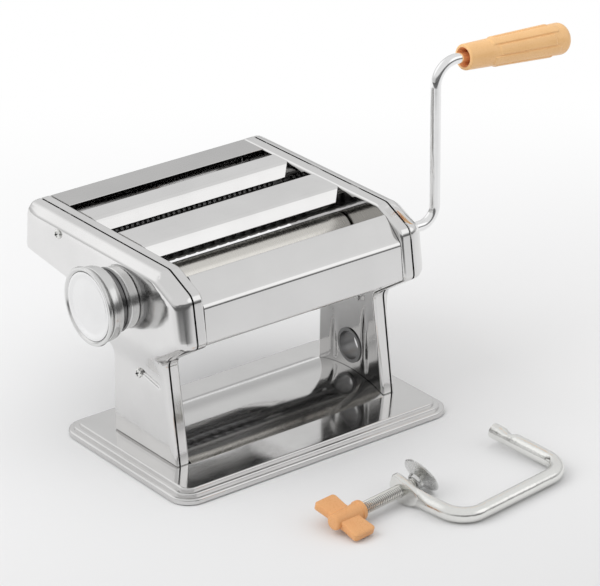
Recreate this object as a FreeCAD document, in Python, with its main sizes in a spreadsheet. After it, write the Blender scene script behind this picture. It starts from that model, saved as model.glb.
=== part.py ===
import FreeCAD, Part
import math
import os
import re

import Sketcher
from FreeCAD import Placement, Rotation, Vector

# Hand-cranked pasta machine: a smooth roller pair, a wide and a narrow cutter pair, and its table clamp.
# +X runs along the rollers to the crank, -Y is the front with the smooth rollers, +Z is up.
# The origin is the middle of the base, on the plane that its rubber feet stand on.

doc = FreeCAD.newDocument("PastaMachine")

# ---------------------------------------------------------------------------------------- driving sizes
SIZES = [
    # base
    ("base_margin", 10.7, "how far the base reaches out beyond the side covers"),
    ("base_depth", 135.0, "outer depth of the base"),
    ("base_corner", 14.0, "corner radius of the base's rim"),
    ("base_sheet", 1.0, "sheet thickness of the base"),
    ("rim_lift", 0.8, "height of the rim's edge above the table"),
    ("rim_top", 4.4, "top of the lower bead"),
    ("rim_rounding", 1.6, "rounding of the lower bead"),
    ("ledge_inset", 3.4, "step in from the rim to the second bead"),
    ("ledge_top", 6.4, "top of the second bead"),
    ("platform_inset", 7.0, "step in from the rim to the platform"),
    ("ledge_rounding", 1.2, "rounding of the upper steps"),
    ("platform_height", 8.3, "height of the platform the legs stand on"),
    ("arch_front", 34.0, "front foot of the dough arch, ahead of the middle"),
    ("arch_back", 41.5, "back foot of the dough arch, behind the middle"),
    ("arch_rise", 7.2, "rise of the arch above the platform"),
    ("foot_dia", 14.0, "diameter of a rubber foot"),
    ("foot_inset", 17.0, "foot's middle in from the rim, both ways"),
    ("foot_screw_step", 12.0, "base screws in from the ends of the legs"),
    ("foot_screw_inset", 2.9, "base screws in from the frames' outer edges"),
    # side frames
    ("inner_width", 152.0, "distance between the two side frames"),
    ("frame_sheet", 1.2, "sheet thickness of a side frame"),
    ("flange_width", 7.0, "width of a side frame over its flange"),
    ("drive_setback", -18.0, "drive roller's axis from the middle of the base"),
    ("roller_height", 111.0, "height of the smooth rollers' axes"),
    ("top_rise", 28.8, "top of the frame above the roller axes"),
    ("brow_rise", 18.0, "brow of the head above the roller axes"),
    ("nose_drop", 14.2, "nose of the head below the roller axes"),
    ("throat_drop", 34.5, "front throat below the roller axes"),
    ("heel_throat_drop", 45.0, "back throat below the roller axes"),
    ("belly_drop", 12.8, "belly of the head below the roller axes"),
    ("tail_drop", 6.6, "lower tail corner below the roller axes"),
    ("top_turn", 8.5, "front end of the flat top, ahead of the drive roller"),
    ("brow_reach", 32.0, "brow ahead of the drive roller"),
    ("nose_reach", 36.6, "nose ahead of the drive roller"),
    ("throat_front", 23.0, "front throat ahead of the middle of the base"),
    ("toe_front", 32.5, "toe of the leg ahead of the middle of the base"),
    ("heel_back", 35.5, "heel of the leg behind the middle of the base"),
    ("heel_throat_back", 33.5, "back throat behind the middle of the base"),
    ("belly_back", 68.0, "belly bend behind the middle of the base"),
    ("tail_reach", 15.1, "tail behind the last cutter"),
    ("tail_lean", 3.7, "lean of the tail, top to bottom"),
    ("least_corner", 0.4, "smallest corner radius of a pressed sheet"),
    ("slot_play", 0.08, "play of the blocks and their bar in the frames' slots"),
    # side covers
    ("cover_gap", 1.0, "shadow gap between a frame's flange and its cover"),
    ("cover_bulge", 11.5, "bulge of a cover beside the head"),
    ("cover_inset", 6.3, "width of the rounding round a cover's face"),
    ("cover_sheet", 0.8, "sheet thickness of a cover"),
    ("leg_bulge", 2.6, "bulge of a cover beside the leg"),
    ("ledge_height", 61.0, "height where a cover starts to swell out"),
    ("swell_height", 28.0, "height over which a cover swells out"),
    ("head_post_lead", 1.6, "left upper cover screw ahead of the first narrow cutter"),
    ("left_post_back", 5.0, "left lower cover screw behind the middle of the base"),
    ("left_post_drop", 1.5, "left lower cover screw below the start of the swell"),
    ("tail_post_back", 13.1, "right upper cover screw behind the last cutter"),
    ("tail_post_rise", 4.5, "right upper cover screw above the cutter axes"),
    ("right_post_lead", 6.0, "right lower cover screw ahead of the middle of the base"),
    ("right_post_rise", 7.6, "right lower cover screw above the start of the swell"),
    ("post_radius", 2.3, "radius of a cover post"),
    ("post_stem", 1.5, "radius of a cover post's riveted stem"),
    ("post_clear", 0.35, "gap between a cover post and the nearest bush"),
    # sheet covers between the frames
    ("plate_sheet", 1.0, "sheet thickness of the front cover and the guide plates"),
    ("sheet_fold", 0.8, "inside radius of the folds in the sheets between the frames"),
    ("panel_top_step", 6.2, "front cover's upper edge ahead of the frames' flat top"),
    ("panel_top_drop", 2.4, "front cover's upper edge below the frames' flat top"),
    ("panel_brow_step", 0.5, "front cover's bend ahead of the frames' brow"),
    ("panel_brow_drop", 8.3, "front cover's bend below the frames' brow"),
    ("panel_nose_step", 1.7, "front cover's lower edge behind the frames' nose"),
    ("panel_lip", 6.0, "depth of the lips along the front cover"),
    ("slope_run", 6.6, "front slope of a guide plate, measured level"),
    ("slope_fall", 7.6, "front slope of a guide plate, measured down"),
    ("slope_end_cut", 8.6, "how far a guide plate's slope is cut back at its ends"),
    ("plate_lip", 5.0, "depth of the lips behind the guide plates"),
    # smooth rollers
    ("roller_dia", 24.0, "diameter of a smooth roller"),
    ("roller_end_gap", 1.0, "gap between a roller's end and the frame"),
    ("widest_gap", 2.5, "gap between the smooth rollers at the widest setting"),
    ("closest_gap", 0.2, "gap between the smooth rollers at the finest setting"),
    ("drive_journal", 12.0, "journal diameter of the drive roller"),
    ("journal_dia", 10.0, "journal diameter of the rear roller and the cutters"),
    ("running_fit", 0.05, "radial clearance of a journal in its bush"),
    ("bush_wall", 1.5, "wall of a bush"),
    ("bush_flange", 1.0, "how far a bush's flange stands out round it"),
    ("gear_plane", 5.5, "gears' inner face beyond the frame"),
    ("gear_width", 6.0, "width of the gears"),
    ("socket_proud", 5.0, "driven shafts' ends beyond their gears"),
    ("scraper_gap", 0.4, "gap between a scraper and its roller"),
    ("scraper_sheet", 1.0, "sheet thickness of a scraper"),
    # cutters
    ("cutter_rise", 9.5, "cutter axes above the smooth roller axes"),
    ("cutter_dia", 19.0, "diameter over the cutting discs"),
    ("cutter_mesh", 1.2, "how deep the discs of a pair pass each other"),
    ("cutter_groove", 2.4, "depth of the grooves between the discs"),
    ("cutter_setback", 18.1, "first cutter's axis behind the rear roller's face"),
    ("cutter_gap", 3.2, "gap between the two cutter pairs"),
    ("wide_ribbon", 4.0, "width of a wide noodle"),
    ("narrow_ribbon", 2.0, "width of a narrow noodle"),
    ("disc_play", 0.1, "side play of a disc in the opposite groove"),
    ("cutter_margin", 3.5, "plain end of a cutter, each side"),
    ("comb_sheet", 1.0, "sheet thickness of a comb"),
    ("comb_drop", 3.0, "combs below the cutter axes"),
    ("comb_play", 0.6, "play of a comb's finger in its groove, both sides together"),
    # thickness regulator
    ("knob_offset", 4.5, "knob's axis behind the rear roller's axis"),
    ("knob_drop", 0.8, "knob's axis below the rear roller's axis"),
    ("knob_dia", 51.0, "diameter of the regulator knob"),
    ("knob_length", 18.8, "length of the regulator knob"),
    ("knob_travel", 4.0, "how far the knob pulls out"),
    ("dial_dia", 40.0, "diameter of the fixed dial behind the knob"),
    ("dial_thick", 3.2, "thickness of the fixed dial"),
    ("dial_bore", 1.5, "gap round the regulator shaft in the dial"),
    ("regulator_shaft_dia", 8.0, "diameter of the regulator shaft"),
    ("cam_dia", 10.0, "diameter of the eccentric"),
    ("cam_side_play", 0.36, "play of the eccentric in its slot, front and back"),
    ("bracket_sheet", 1.5, "sheet thickness of the regulator's bracket"),
    ("bracket_foot", 10.6, "height of each foot of the bracket"),
    ("bracket_width", 14.0, "width of the bracket"),
    ("bracket_rise", 20.8, "upper foot of the bracket above the knob's axis"),
    ("bracket_drop", 28.2, "lower foot of the bracket below the knob's axis"),
    ("tie_bar_dia", 6.0, "diameter of the carriage's tie bar"),
    # crank
    ("rod_dia", 7.0, "diameter of the crank's rod"),
    ("hex_flats", 6.0, "width across flats of the crank's driving end"),
    ("hex_play", 0.1, "play of the driving end in its socket, across flats"),
    ("hex_length", 15.5, "length of the driving end"),
    ("socket_depth", 22.0, "depth of a crank socket"),
    ("mouth_depth", 6.0, "depth of a crank socket's round mouth"),
    ("crank_clear", 34.5, "crank arm from the right cover's face"),
    ("crank_throw", 108.5, "crank axis to grip axis, measured at the arm"),
    ("lower_bend", 12.0, "bend radius of the rod by the machine"),
    ("upper_bend", 15.0, "bend radius of the rod by the grip"),
    ("grip_droop", 4.2, "degrees that the grip's axis droops"),
    ("grip_start", 22.5, "small end of the grip from the arm"),
    ("grip_length", 85.5, "length of the grip"),
    ("grip_small", 17.0, "diameter of the grip's small end"),
    ("grip_large", 21.4, "diameter of the grip's large end"),
    ("rib_width", 4.4, "width of a rib on the grip"),
    ("grip_rib", 0.8, "height of the ribs on the grip"),
    ("grip_play", 0.1, "radial play of the grip on its rod"),
    ("clip_dia", 10.4, "diameter of the clip that keeps the grip on its rod"),
    ("clip_groove", 1.0, "depth of the clip's groove in the rod"),
    # table clamp, lying in front of the machine
    ("clamp_x", 13.6, "clamp's first corner, along the rollers"),
    ("clamp_y", -188.5, "clamp's first corner, ahead of the middle"),
    ("clamp_turn", 7.4, "degrees that the clamp is turned on the table"),
    ("clamp_roll", 3.9, "degrees that the clamp leans on the table"),
    ("clamp_skew", 3.6, "degrees that the bored arm leans off square with the back"),
    ("clamp_tube", 10.0, "diameter of the clamp's tube"),
    ("clamp_bore", 7.0, "bore of the clamp's tube"),
    ("clamp_throat", 49.0, "screw axis to the clamp's back"),
    ("clamp_span", 94.0, "length of the clamp's back, corner to corner"),
    ("clamp_arm", 61.5, "length of the arm that enters the machine"),
    ("clamp_bend", 16.0, "bend radius of the clamp's tube"),
    ("boss_thick", 5.0, "thickness of the flattened end"),
    ("boss_wide", 16.4, "width of the flattened end"),
    ("screw_dia", 8.0, "diameter of the clamp's screw"),
    ("screw_pitch", 1.5, "pitch of the clamp's screw"),
    ("screw_reach", 11.0, "screw's tip ahead of the flattened end's middle"),
    ("handle_start", 35.2, "wing handle behind the flattened end's middle"),
    ("handle_length", 24.0, "length of the wing handle's hub"),
    ("handle_hub", 12.6, "diameter of the wing handle's hub"),
    ("handle_span", 37.0, "span of the wings"),
    ("handle_wing", 17.3, "width of a wing along the screw"),
    ("handle_thick", 5.9, "thickness of a wing"),
    ("handle_roll", 11.3, "degrees that the wings are turned on the screw"),
    ("wing_corner", 3.0, "corner radius of the wings"),
    ("handle_lead", 2.0, "wings towards the back end of the hub"),
    ("pad_dia", 27.0, "diameter of the clamp's pad"),
    ("pad_tilt", 28.0, "degrees that the loose pad hangs askew"),
    # screws and holes
    ("clamp_hole", 19.4, "bore of the sleeve that takes the clamp's arm"),
    ("clamp_hole_y", 1.5, "clamp sleeve behind the middle of the base"),
    ("clamp_hole_z", 31.8, "height of the clamp sleeve"),
    ("sleeve_wall", 1.0, "wall of the clamp sleeve"),
    ("sleeve_lip", 0.8, "thickness of the clamp sleeve's inner lip"),
    ("tie_rod_dia", 7.0, "diameter of the rods between the frames"),
    ("front_rod_reach", 25.0, "front rod ahead of the drive roller"),
    ("front_rod_drop", 7.0, "front rod below the roller axes"),
    ("slot_rod_lead", 5.0, "second rod ahead of the middle of its gap"),
    ("slot_rod_rise", 11.0, "middle rods above the cutter axes"),
    ("tail_rod_inset", 8.5, "last rod in from the tail"),
    ("tail_rod_drop", 0.5, "last rod below the roller axes"),
    ("rod_tap", 9.0, "depth of the threads in the rods' ends"),
    ("screw_shank", 3.0, "shank diameter of the frame and base screws"),
    ("cover_screw", 2.2, "shank diameter of the cover screws"),
    ("screw_head", 6.4, "head diameter of the cover and frame screws"),
    ("nut_flats", 5.4, "width across flats of the base nuts"),
    ("nut_high", 2.4, "height of the base nuts"),
    ("screw_cap", 1.6, "height of the base screws' heads"),
    ("screw_tail", 1.2, "what the base screws show above their nuts"),
    ("crank_hole", 15.0, "holes in the right cover over the crank sockets"),
]

# What follows from them: alias, formula, note.
DERIVED = [
    ("inner_face", "inner_width / 2", "a frame's inner face"),
    ("outer_face", "inner_face + frame_sheet", "a frame's outer face"),
    ("flange_edge", "inner_face + flange_width", "a frame's outer edge"),
    ("cover_rim", "flange_edge + cover_gap", "a cover's rim"),
    ("cover_face", "cover_rim + cover_bulge", "a cover's outer face"),
    ("base_length", "2 * (cover_face + base_margin)", "outer length of the base along the rollers"),
    ("under_platform", "platform_height - base_sheet", "underside of the platform"),
    ("flange_top", "platform_height + frame_sheet", "top of the frames' lower flanges"),
    ("cutter_height", "roller_height + cutter_rise", "height of the cutters' axes"),
    ("rear_y", "drive_setback + roller_dia + widest_gap", "rear roller's axis at the widest setting"),
    ("cutter_pitch", "cutter_dia - cutter_mesh", "distance between the axes of a cutter pair"),
    ("wide_front_y", "rear_y + roller_dia / 2 + cutter_setback", "front wide cutter's axis"),
    ("wide_rear_y", "wide_front_y + cutter_pitch", "rear wide cutter's axis"),
    ("narrow_front_y", "wide_rear_y + cutter_dia + cutter_gap", "front narrow cutter's axis"),
    ("narrow_rear_y", "narrow_front_y + cutter_pitch", "rear narrow cutter's axis"),
    ("top_z", "roller_height + top_rise", "top of the frames"),
    ("tail_y", "narrow_rear_y + cutter_dia / 2 + tail_reach", "tail end of the frames"),
    ("wide_bush", "drive_journal / 2 + running_fit + bush_wall", "radius of the drive roller's bushes"),
    ("slim_bush", "journal_dia / 2 + running_fit + bush_wall", "radius of the cutters' bushes"),
    ("boss_radius", "journal_dia / 2 + running_fit + 3", "radius of the blocks' bosses in the frames' slots"),
    ("slide", "widest_gap - closest_gap", "travel of the rear roller"),
    ("bar_y", "rear_y + roller_dia / 2 - 0.5", "tie bar's axis at the widest setting"),
    ("bar_z", "roller_height - roller_dia / 2 - 4", "height of the tie bar's axis"),
    ("panel_top_y", "drive_setback - top_turn - panel_top_step", "front cover's upper edge"),
    ("panel_top_z", "top_z - panel_top_drop", "height of the front cover's upper edge"),
    ("panel_nose_y", "drive_setback - nose_reach + panel_nose_step", "front cover's lower edge"),
    ("panel_nose_z", "roller_height - nose_drop + 0.3", "height of the front cover's lower edge"),
    ("plate_top", "top_z - 0.3", "height of the guide plates' level tops"),
    ("smooth_nip", "(drive_setback + rear_y) / 2", "middle between the smooth rollers"),
    ("wide_nip", "(wide_front_y + wide_rear_y) / 2", "middle between the wide cutters"),
    ("narrow_nip", "(narrow_front_y + narrow_rear_y) / 2", "middle between the narrow cutters"),
    ("gear_x", "inner_face + gear_plane", "gears' inner face"),
    ("gear_out", "gear_x + gear_width", "gears' outer face"),
    ("shaft_end", "gear_out + socket_proud", "crank sockets' mouths"),
    ("roller_end", "inner_face - roller_end_gap", "end of a smooth roller's barrel"),
    ("left_end", "outer_face + 4.2", "left journals end just past their bushes"),
    ("left_journal_end", "outer_face + 2.4", "rear roller's left journal ends in its block"),
    ("socket_mouth", "rod_dia / 2 + 0.06", "radius of a crank socket's round mouth"),
    ("smooth_tip", "roller_dia / 2 + 2.2", "tip radius of the smooth rollers' gears"),
    ("smooth_root", "roller_dia + closest_gap - smooth_tip - 0.2", "root radius of the same"),
    ("cutter_tip", "cutter_pitch / 2 + 1", "tip radius of the cutters' gears"),
    ("cutter_root", "cutter_pitch - cutter_tip - 0.15", "root radius of the same"),
    ("scraper_top", "roller_height - roller_dia / 2 - scraper_gap", "top of the scrapers"),
    ("cutter_core", "cutter_dia / 2 - cutter_groove", "radius of a cutter in its grooves"),
    ("wide_rings", "floor((roller_end - cutter_margin - wide_ribbon) / (2 * wide_ribbon))",
     "wide discs on each side of the middle one"),
    ("narrow_rings", "floor((roller_end - cutter_margin - narrow_ribbon) / (2 * narrow_ribbon))",
     "narrow discs on each side of the middle one"),
    ("disc_chord", "sqrt((cutter_dia / 2) ^ 2 - comb_drop ^ 2) + 0.4", "half width of a disc by the combs"),
    ("core_chord", "sqrt((cutter_core + 0.4) ^ 2 - comb_drop ^ 2)", "half width of a groove by the combs"),
    ("block_in", "outer_face + 0.2", "blocks' inner face, clear of the frames"),
    ("cam_in", "block_in + 3.4", "floor of the eccentric's slot"),
    ("cam_out", "cam_in + 2.8", "left block's outer face"),
    ("bracket_face", "cam_out + 1.2", "inner face of the bracket's strap"),
    ("knob_y", "rear_y + knob_offset", "knob's axis"),
    ("knob_z", "roller_height - knob_drop", "height of the knob's axis"),
    ("cam_throw", "slide / 2", "eccentricity of the regulator"),
    ("dial_face", "cover_face + dial_thick", "dial's outer face"),
    ("knob_back", "dial_face + 0.5", "knob's back, clear of the dial"),
    ("knob_front", "knob_back + knob_length", "knob's face"),
    ("knob_floor", "knob_back + 3", "floor of the knob's spring room"),
    ("knob_bore", "regulator_shaft_dia / 2 + running_fit", "radius of the knob's bore"),
    ("spring_room", "regulator_shaft_dia / 2 + 4.5", "radius of the knob's spring room"),
    ("shaft_out", "knob_front - 5", "regulator shaft's outer end"),
    ("crank_standoff", "cover_face + crank_clear", "crank arm from the machine's middle plane"),
    ("rod_tip", "grip_start + grip_length - 9", "end of the rod inside the grip"),
    ("clip_at", "rod_tip - 3", "clip's place along the grip"),
    ("grip_bore", "rod_dia / 2 + grip_play", "radius of the grip's bore"),
    ("handle_back", "-handle_start - handle_length", "back end of the wing handle"),
]

sheet = doc.addObject("Spreadsheet::Sheet", "Dims")
rows = [(alias, str(value), note) for alias, value, note in SIZES]
rows += [(alias, "=" + formula, note) for alias, formula, note in DERIVED]
for row, (alias, content, note) in enumerate(rows, start=1):
    sheet.set(f"A{row}", alias)
    sheet.set(f"B{row}", content)
    sheet.set(f"C{row}", note)
    sheet.setAlias(f"B{row}", alias)
doc.recompute()
ALIASES = {alias for alias, _, _ in rows}


def size(alias):
    """The present value of one size, read from the sheet."""
    return float(sheet.get(alias))


def value(text):
    """The present value of an expression over the sheet's sizes."""
    return float(sheet.evalExpression(text))


def bind(text):
    """A FreeCAD expression with every size in it pointed at the sheet."""
    return re.sub(r"[a-z_]+", lambda word: "Dims." + word[0] if word[0] in ALIASES else word[0], text)


# ---------------------------------------------------------------------------------------- places in a row
CUTTERS = {"wide_front": "wide_front_y", "wide_rear": "wide_rear_y",
           "narrow_front": "narrow_front_y", "narrow_rear": "narrow_rear_y"}
TIE_RODS = [("drive_setback - front_rod_reach", "roller_height - front_rod_drop"),
            ("(rear_y + roller_dia / 2 + wide_front_y) / 2 - slot_rod_lead", "cutter_height + slot_rod_rise"),
            ("(wide_rear_y + narrow_front_y) / 2", "cutter_height + slot_rod_rise"),
            ("tail_y - tail_rod_inset", "roller_height - tail_rod_drop")]
COVER_POSTS = {-1: [("narrow_front_y - head_post_lead",
                     "cutter_height + slim_bush + bush_flange + post_radius + post_clear"),
                    ("left_post_back", "ledge_height - left_post_drop")],
               1: [("narrow_rear_y + tail_post_back", "cutter_height + tail_post_rise"),
                   ("-right_post_lead", "ledge_height + right_post_rise")]}
FOOT_SCREWS = [(side, f"{side} * (flange_edge - foot_screw_inset)", y) for side in (-1, 1)
               for y in ("foot_screw_step - toe_front", "heel_back - foot_screw_step")]
BRACKET_FEET = ("knob_z + bracket_rise", "knob_z - bracket_drop")
BRACKET_SCREWS = (f"{BRACKET_FEET[0]} + bracket_sheet", f"{BRACKET_FEET[1]} - bracket_sheet")
SIDE_NAMES = {-1: "left", 1: "right"}
SUBPARTS = []


# ------------------------------------------------------------------------------------------------ sketches
def new_body(label):
    body = doc.addObject("PartDesign::Body", label)
    body.Label = label
    return body


def sketch_on(body, plane, offset="0"):
    """A sketch on one of the body's own planes, moved along the plane's normal by an expression."""
    sketch = body.newObject("Sketcher::SketchObject", body.Label + "_sketch")
    origin_plane = next(feature for feature in body.Origin.OriginFeatures if feature.Role == plane)
    sketch.AttachmentSupport = [(origin_plane, "")]
    sketch.MapMode = "FlatFace"
    sketch.setExpression(".AttachmentOffset.Base.z", bind(offset))
    return sketch


def constrain(sketch, driven, plain=()):
    """Adds constraints; each driven one comes with the expression that sets it."""
    first = sketch.ConstraintCount
    sketch.addConstraint([rule for rule, _ in driven] + list(plain))
    for number, (_, text) in enumerate(driven, start=first):
        sketch.setExpression(f"Constraints[{number}]", bind(text))


def set_at(item, spot, x, y):
    """Drives a point of a sketch to (x, y)."""
    return [(Sketcher.Constraint("DistanceX", -1, 1, item, spot, value(x)), x),
            (Sketcher.Constraint("DistanceY", -1, 1, item, spot, value(y)), y)]


def closed_chain(sketch, places):
    """Straight lines through places and back to the first, with the joins between them."""
    first, count = sketch.GeometryCount, len(places)
    sketch.addGeometry([Part.LineSegment(places[k], places[(k + 1) % count]) for k in range(count)], False)
    return [Sketcher.Constraint("Coincident", first + k, 2, first + (k + 1) % count, 1) for k in range(count)]


def draw_polygon(sketch, points):
    first = sketch.GeometryCount
    joins = closed_chain(sketch, [Vector(value(x), value(y), 0) for x, y in points])
    driven = []
    for k, (x, y) in enumerate(points, start=first):
        driven += set_at(k, 1, x, y)
    constrain(sketch, driven, joins)


def box_corners(x0, x1, y0, y1):
    return [(x0, y0), (x1, y0), (x1, y1), (x0, y1)]


def hexagon_corners(flats, x="0", y="0"):
    return [(f"{x} + ({flats}) / sqrt(3) * cos({angle} deg)", f"{y} + ({flats}) / sqrt(3) * sin({angle} deg)")
            for angle in range(30, 390, 60)]


def draw_circle(sketch, radius, x="0", y="0"):
    item = sketch.GeometryCount
    centre = Vector(value(x), value(y), 0)
    sketch.addGeometry(Part.Circle(centre, Vector(0, 0, 1), value(radius)), False)
    constrain(sketch, [(Sketcher.Constraint("Radius", item, value(radius)), radius)] + set_at(item, 3, x, y))


def arc_between(centre, radius, start, end):
    """The anticlockwise arc from start to end."""
    angles = [math.atan2(place.y - centre.y, place.x - centre.x) for place in (start, end)]
    return Part.ArcOfCircle(Part.Circle(centre, Vector(0, 0, 1), radius), *angles)


def draw_oblong(sketch, high, wide, x, y):
    """A level slot with round ends: wide along the sketch's first axis, high along its second."""
    first = sketch.GeometryCount
    radius = value(f"({high}) / 2")
    ends = [f"{x} - (({wide}) - ({high})) / 2", f"{x} + (({wide}) - ({high})) / 2"]
    left, right = [Vector(value(end), value(y), 0) for end in ends]
    up = Vector(0, radius, 0)
    sketch.addGeometry([Part.LineSegment(right + up, left + up),
                        arc_between(left, radius, left + up, left - up),
                        Part.LineSegment(left - up, right - up),
                        arc_between(right, radius, right - up, right + up)], False)
    joins = [Sketcher.Constraint("Tangent", first + k, 2, first + (k + 1) % 4, 1) for k in range(4)]
    driven = []
    for arc, end in zip((first + 1, first + 3), ends):
        driven.append((Sketcher.Constraint("Radius", arc, radius), f"({high}) / 2"))
        driven += set_at(arc, 3, end, y)
    constrain(sketch, driven, joins)


def draw_rounded(sketch, corners, inset="0"):
    """A closed outline of (x, y, radius) corners, anticlockwise, moved in by inset."""
    count, first, step = len(corners), sketch.GeometryCount, value(inset)
    places = [Vector(value(x), value(y), 0) for x, y, _ in corners]
    runs = [(places[(k + 1) % count] - places[k]).normalize() for k in range(count)]
    arcs, ends, radii, leftward = [], [], [], []
    for k, place in enumerate(places):
        before, after = runs[k - 1], runs[k]
        turn = before.getAngle(after)
        left = before.cross(after).z > 0
        inward = (Vector(-before.y, before.x, 0) + Vector(-after.y, after.x, 0)).normalize()
        spot = place + inward * (step / math.cos(turn / 2))
        text = f"max({corners[k][2]} {'-' if left else '+'} {inset}; least_corner)"
        radius = value(text)
        back = radius * math.tan(turn / 2)
        start, end = spot - before * back, spot + after * back
        centre = start + Vector(-before.y, before.x, 0) * (radius if left else -radius)
        arcs.append(arc_between(centre, radius, *((start, end) if left else (end, start))))
        ends.append((start, end))
        radii.append(text)
        leftward.append(left)
    lines = [Part.LineSegment(ends[k][1], ends[(k + 1) % count][0]) for k in range(count)]
    sketch.addGeometry(lines + arcs, False)
    guide = sketch.GeometryCount
    sketch.addGeometry([Part.LineSegment(places[k], places[(k + 1) % count]) for k in range(count)], True)
    plain, driven = [], []
    for k, (x, y, _) in enumerate(corners):
        line_in, line_out, arc = first + (k - 1) % count, first + k, first + count + k
        enter, leave = (1, 2) if leftward[k] else (2, 1)
        plain += [Sketcher.Constraint("Tangent", line_in, 2, arc, enter),
                  Sketcher.Constraint("Tangent", line_out, 1, arc, leave),
                  Sketcher.Constraint("Coincident", guide + k, 2, guide + (k + 1) % count, 1)]
        driven.append((Sketcher.Constraint("Radius", arc, value(radii[k])), radii[k]))
        driven += set_at(guide + k, 1, x, y)
        if step:
            plain.append(Sketcher.Constraint("Parallel", line_out, guide + k))
            driven.append((Sketcher.Constraint("Distance", line_out, 1, guide + k, step), inset))
        else:
            plain += [Sketcher.Constraint("PointOnObject", guide + k, 1, line_in),
                      Sketcher.Constraint("PointOnObject", guide + k, 1, line_out)]
    constrain(sketch, driven, plain)


def draw_strip(sketch, path, thick):
    """Section of a bent sheet: one face along the path, the other parallel to it on its left."""
    first, count = sketch.GeometryCount, len(path)
    places = [Vector(value(x), value(y), 0) for x, y in path]
    runs = [(places[k + 1] - places[k]).normalize() for k in range(count - 1)]
    offset = []
    for k, place in enumerate(places):
        beside = runs[max(k - 1, 0):k + 1]
        normal = sum((Vector(-run.y, run.x, 0) for run in beside), Vector()) * (1 / len(beside))
        offset.append(place + normal * (value(thick) / normal.dot(normal)))
    plain = closed_chain(sketch, places + offset[::-1])
    last = first + 2 * count - 1
    plain += [Sketcher.Constraint("Perpendicular", first, last),
              Sketcher.Constraint("Perpendicular", first + count - 2, first + count - 1)]
    driven = []
    for k, (x, y) in enumerate(path, start=first):
        driven += set_at(k, 1, x, y)
    for k in range(count - 1):
        plain.append(Sketcher.Constraint("Parallel", first + k, last - 1 - k))
        driven.append((Sketcher.Constraint("Distance", last - 1 - k, 1, first + k, value(thick)), thick))
    constrain(sketch, driven, plain)
    return places, offset


# ------------------------------------------------------------------------------------------------ features
def feature(sketch, kind, **sizes):
    """A feature made from a sketch, its sizes given as expressions."""
    body = sketch.getParentGeoFeatureGroup()
    made = body.newObject("PartDesign::" + kind, f"{body.Label}_{kind.lower()}")
    made.Profile = sketch
    for name, text in sizes.items():
        made.setExpression(name, bind(text))
    return made


def ends_of(side, x0, x1):
    """Where a length along X starts and stops, on the right (side 1) or mirrored to the left (side -1)."""
    return (x0, x1) if side > 0 else (f"-({x1})", f"-({x0})")


def pad_x(body, side, x0, x1, *drawings):
    """Fills drawings of the YZ plane between two places along X."""
    low, high = ends_of(side, x0, x1)
    sketch = sketch_on(body, "YZ_Plane", low)
    for draw, *sizes in drawings:
        draw(sketch, *sizes)
    return feature(sketch, "Pad", Length=f"({high}) - ({low})")


def cut_x(body, side, x0, x1, *drawings):
    """Takes drawings of the YZ plane away between two places along X."""
    low, high = ends_of(side, x0, x1)
    sketch = sketch_on(body, "YZ_Plane", high)
    for draw, *sizes in drawings:
        draw(sketch, *sizes)
    return feature(sketch, "Pocket", Length=f"({high}) - ({low})")


def pad_z(body, z0, z1, *drawings):
    """Fills drawings of the XY plane between two heights."""
    sketch = sketch_on(body, "XY_Plane", z0)
    for draw, *sizes in drawings:
        draw(sketch, *sizes)
    return feature(sketch, "Pad", Length=f"({z1}) - ({z0})")


def cut_z(body, z0, z1, *drawings):
    """Takes drawings of the XY plane away between two heights."""
    sketch = sketch_on(body, "XY_Plane", z1)
    for draw, *sizes in drawings:
        draw(sketch, *sizes)
    return feature(sketch, "Pocket", Length=f"({z1}) - ({z0})")


def repeated(original, kind, direction, occurrences, **sizes):
    """A linear or polar pattern of one feature, along or about an axis of its own sketch."""
    body = original.getParentGeoFeatureGroup()
    pattern = body.newObject(f"PartDesign::{kind}Pattern", f"{body.Label}_pattern")
    pattern.Originals = [original]
    setattr(pattern, "Direction" if kind == "Linear" else "Axis", (original.Profile[0], [direction]))
    pattern.setExpression("Occurrences", bind(occurrences))
    for name, text in sizes.items():
        pattern.setExpression(name, bind(text))
    body.Tip = pattern
    return pattern


def fold_edges(bent, places, offset, inside, thick):
    """Rounds the folds of a bent sheet that runs along X: inside radius, and the sheet more outside."""
    doc.recompute()
    body = bent.getParentGeoFeatureGroup()
    corners = {inside: [], f"{inside} + {thick}": []}
    for k in range(1, len(places) - 1):
        turn = (places[k] - places[k - 1]).cross(places[k + 1] - places[k]).z
        near, far = (offset[k], places[k]) if turn > 0 else (places[k], offset[k])
        corners[inside].append(near)
        corners[f"{inside} + {thick}"].append(far)
    for text, spots in corners.items():
        names = [f"Edge{number}" for number, edge in enumerate(bent.Shape.Edges, start=1)
                 if edge.BoundBox.XLength > 1
                 and any(math.hypot(edge.CenterOfMass.y - spot.x, edge.CenterOfMass.z - spot.y) < 0.01
                         for spot in spots)]
        rounded = body.newObject("PartDesign::Fillet", f"{body.Label}_fold")
        rounded.Base = (bent, names)
        rounded.setExpression("Radius", bind(text))
        doc.recompute()
        bent = rounded
    return bent


def place_at(item, x="0", y="0", z="0", rotation=Rotation()):
    """Puts an object where three expressions say."""
    item.Placement = Placement(Vector(), rotation)
    for axis, text in zip("xyz", (x, y, z)):
        item.setExpression(".Placement.Base." + axis, bind(text))
    return item


UPWARD = Rotation(Vector(0, 1, 0), -90)                             # what runs along +X then runs along +Z


def turned(label, profile, side=1):
    """A body turned about its own X axis; profile holds (x, radius) expressions."""
    body = new_body(label)
    sketch = sketch_on(body, "XY_Plane")
    draw_polygon(sketch, [(x if side > 0 else f"-({x})", radius) for x, radius in profile])
    made = feature(sketch, "Revolution")
    made.ReferenceAxis = (sketch, ["H_Axis"])
    made.Angle = 360
    return body


def tube_profile(bore, radius, x0, x1):
    return [(x0, bore), (x0, radius), (x1, radius), (x1, bore)]


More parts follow.
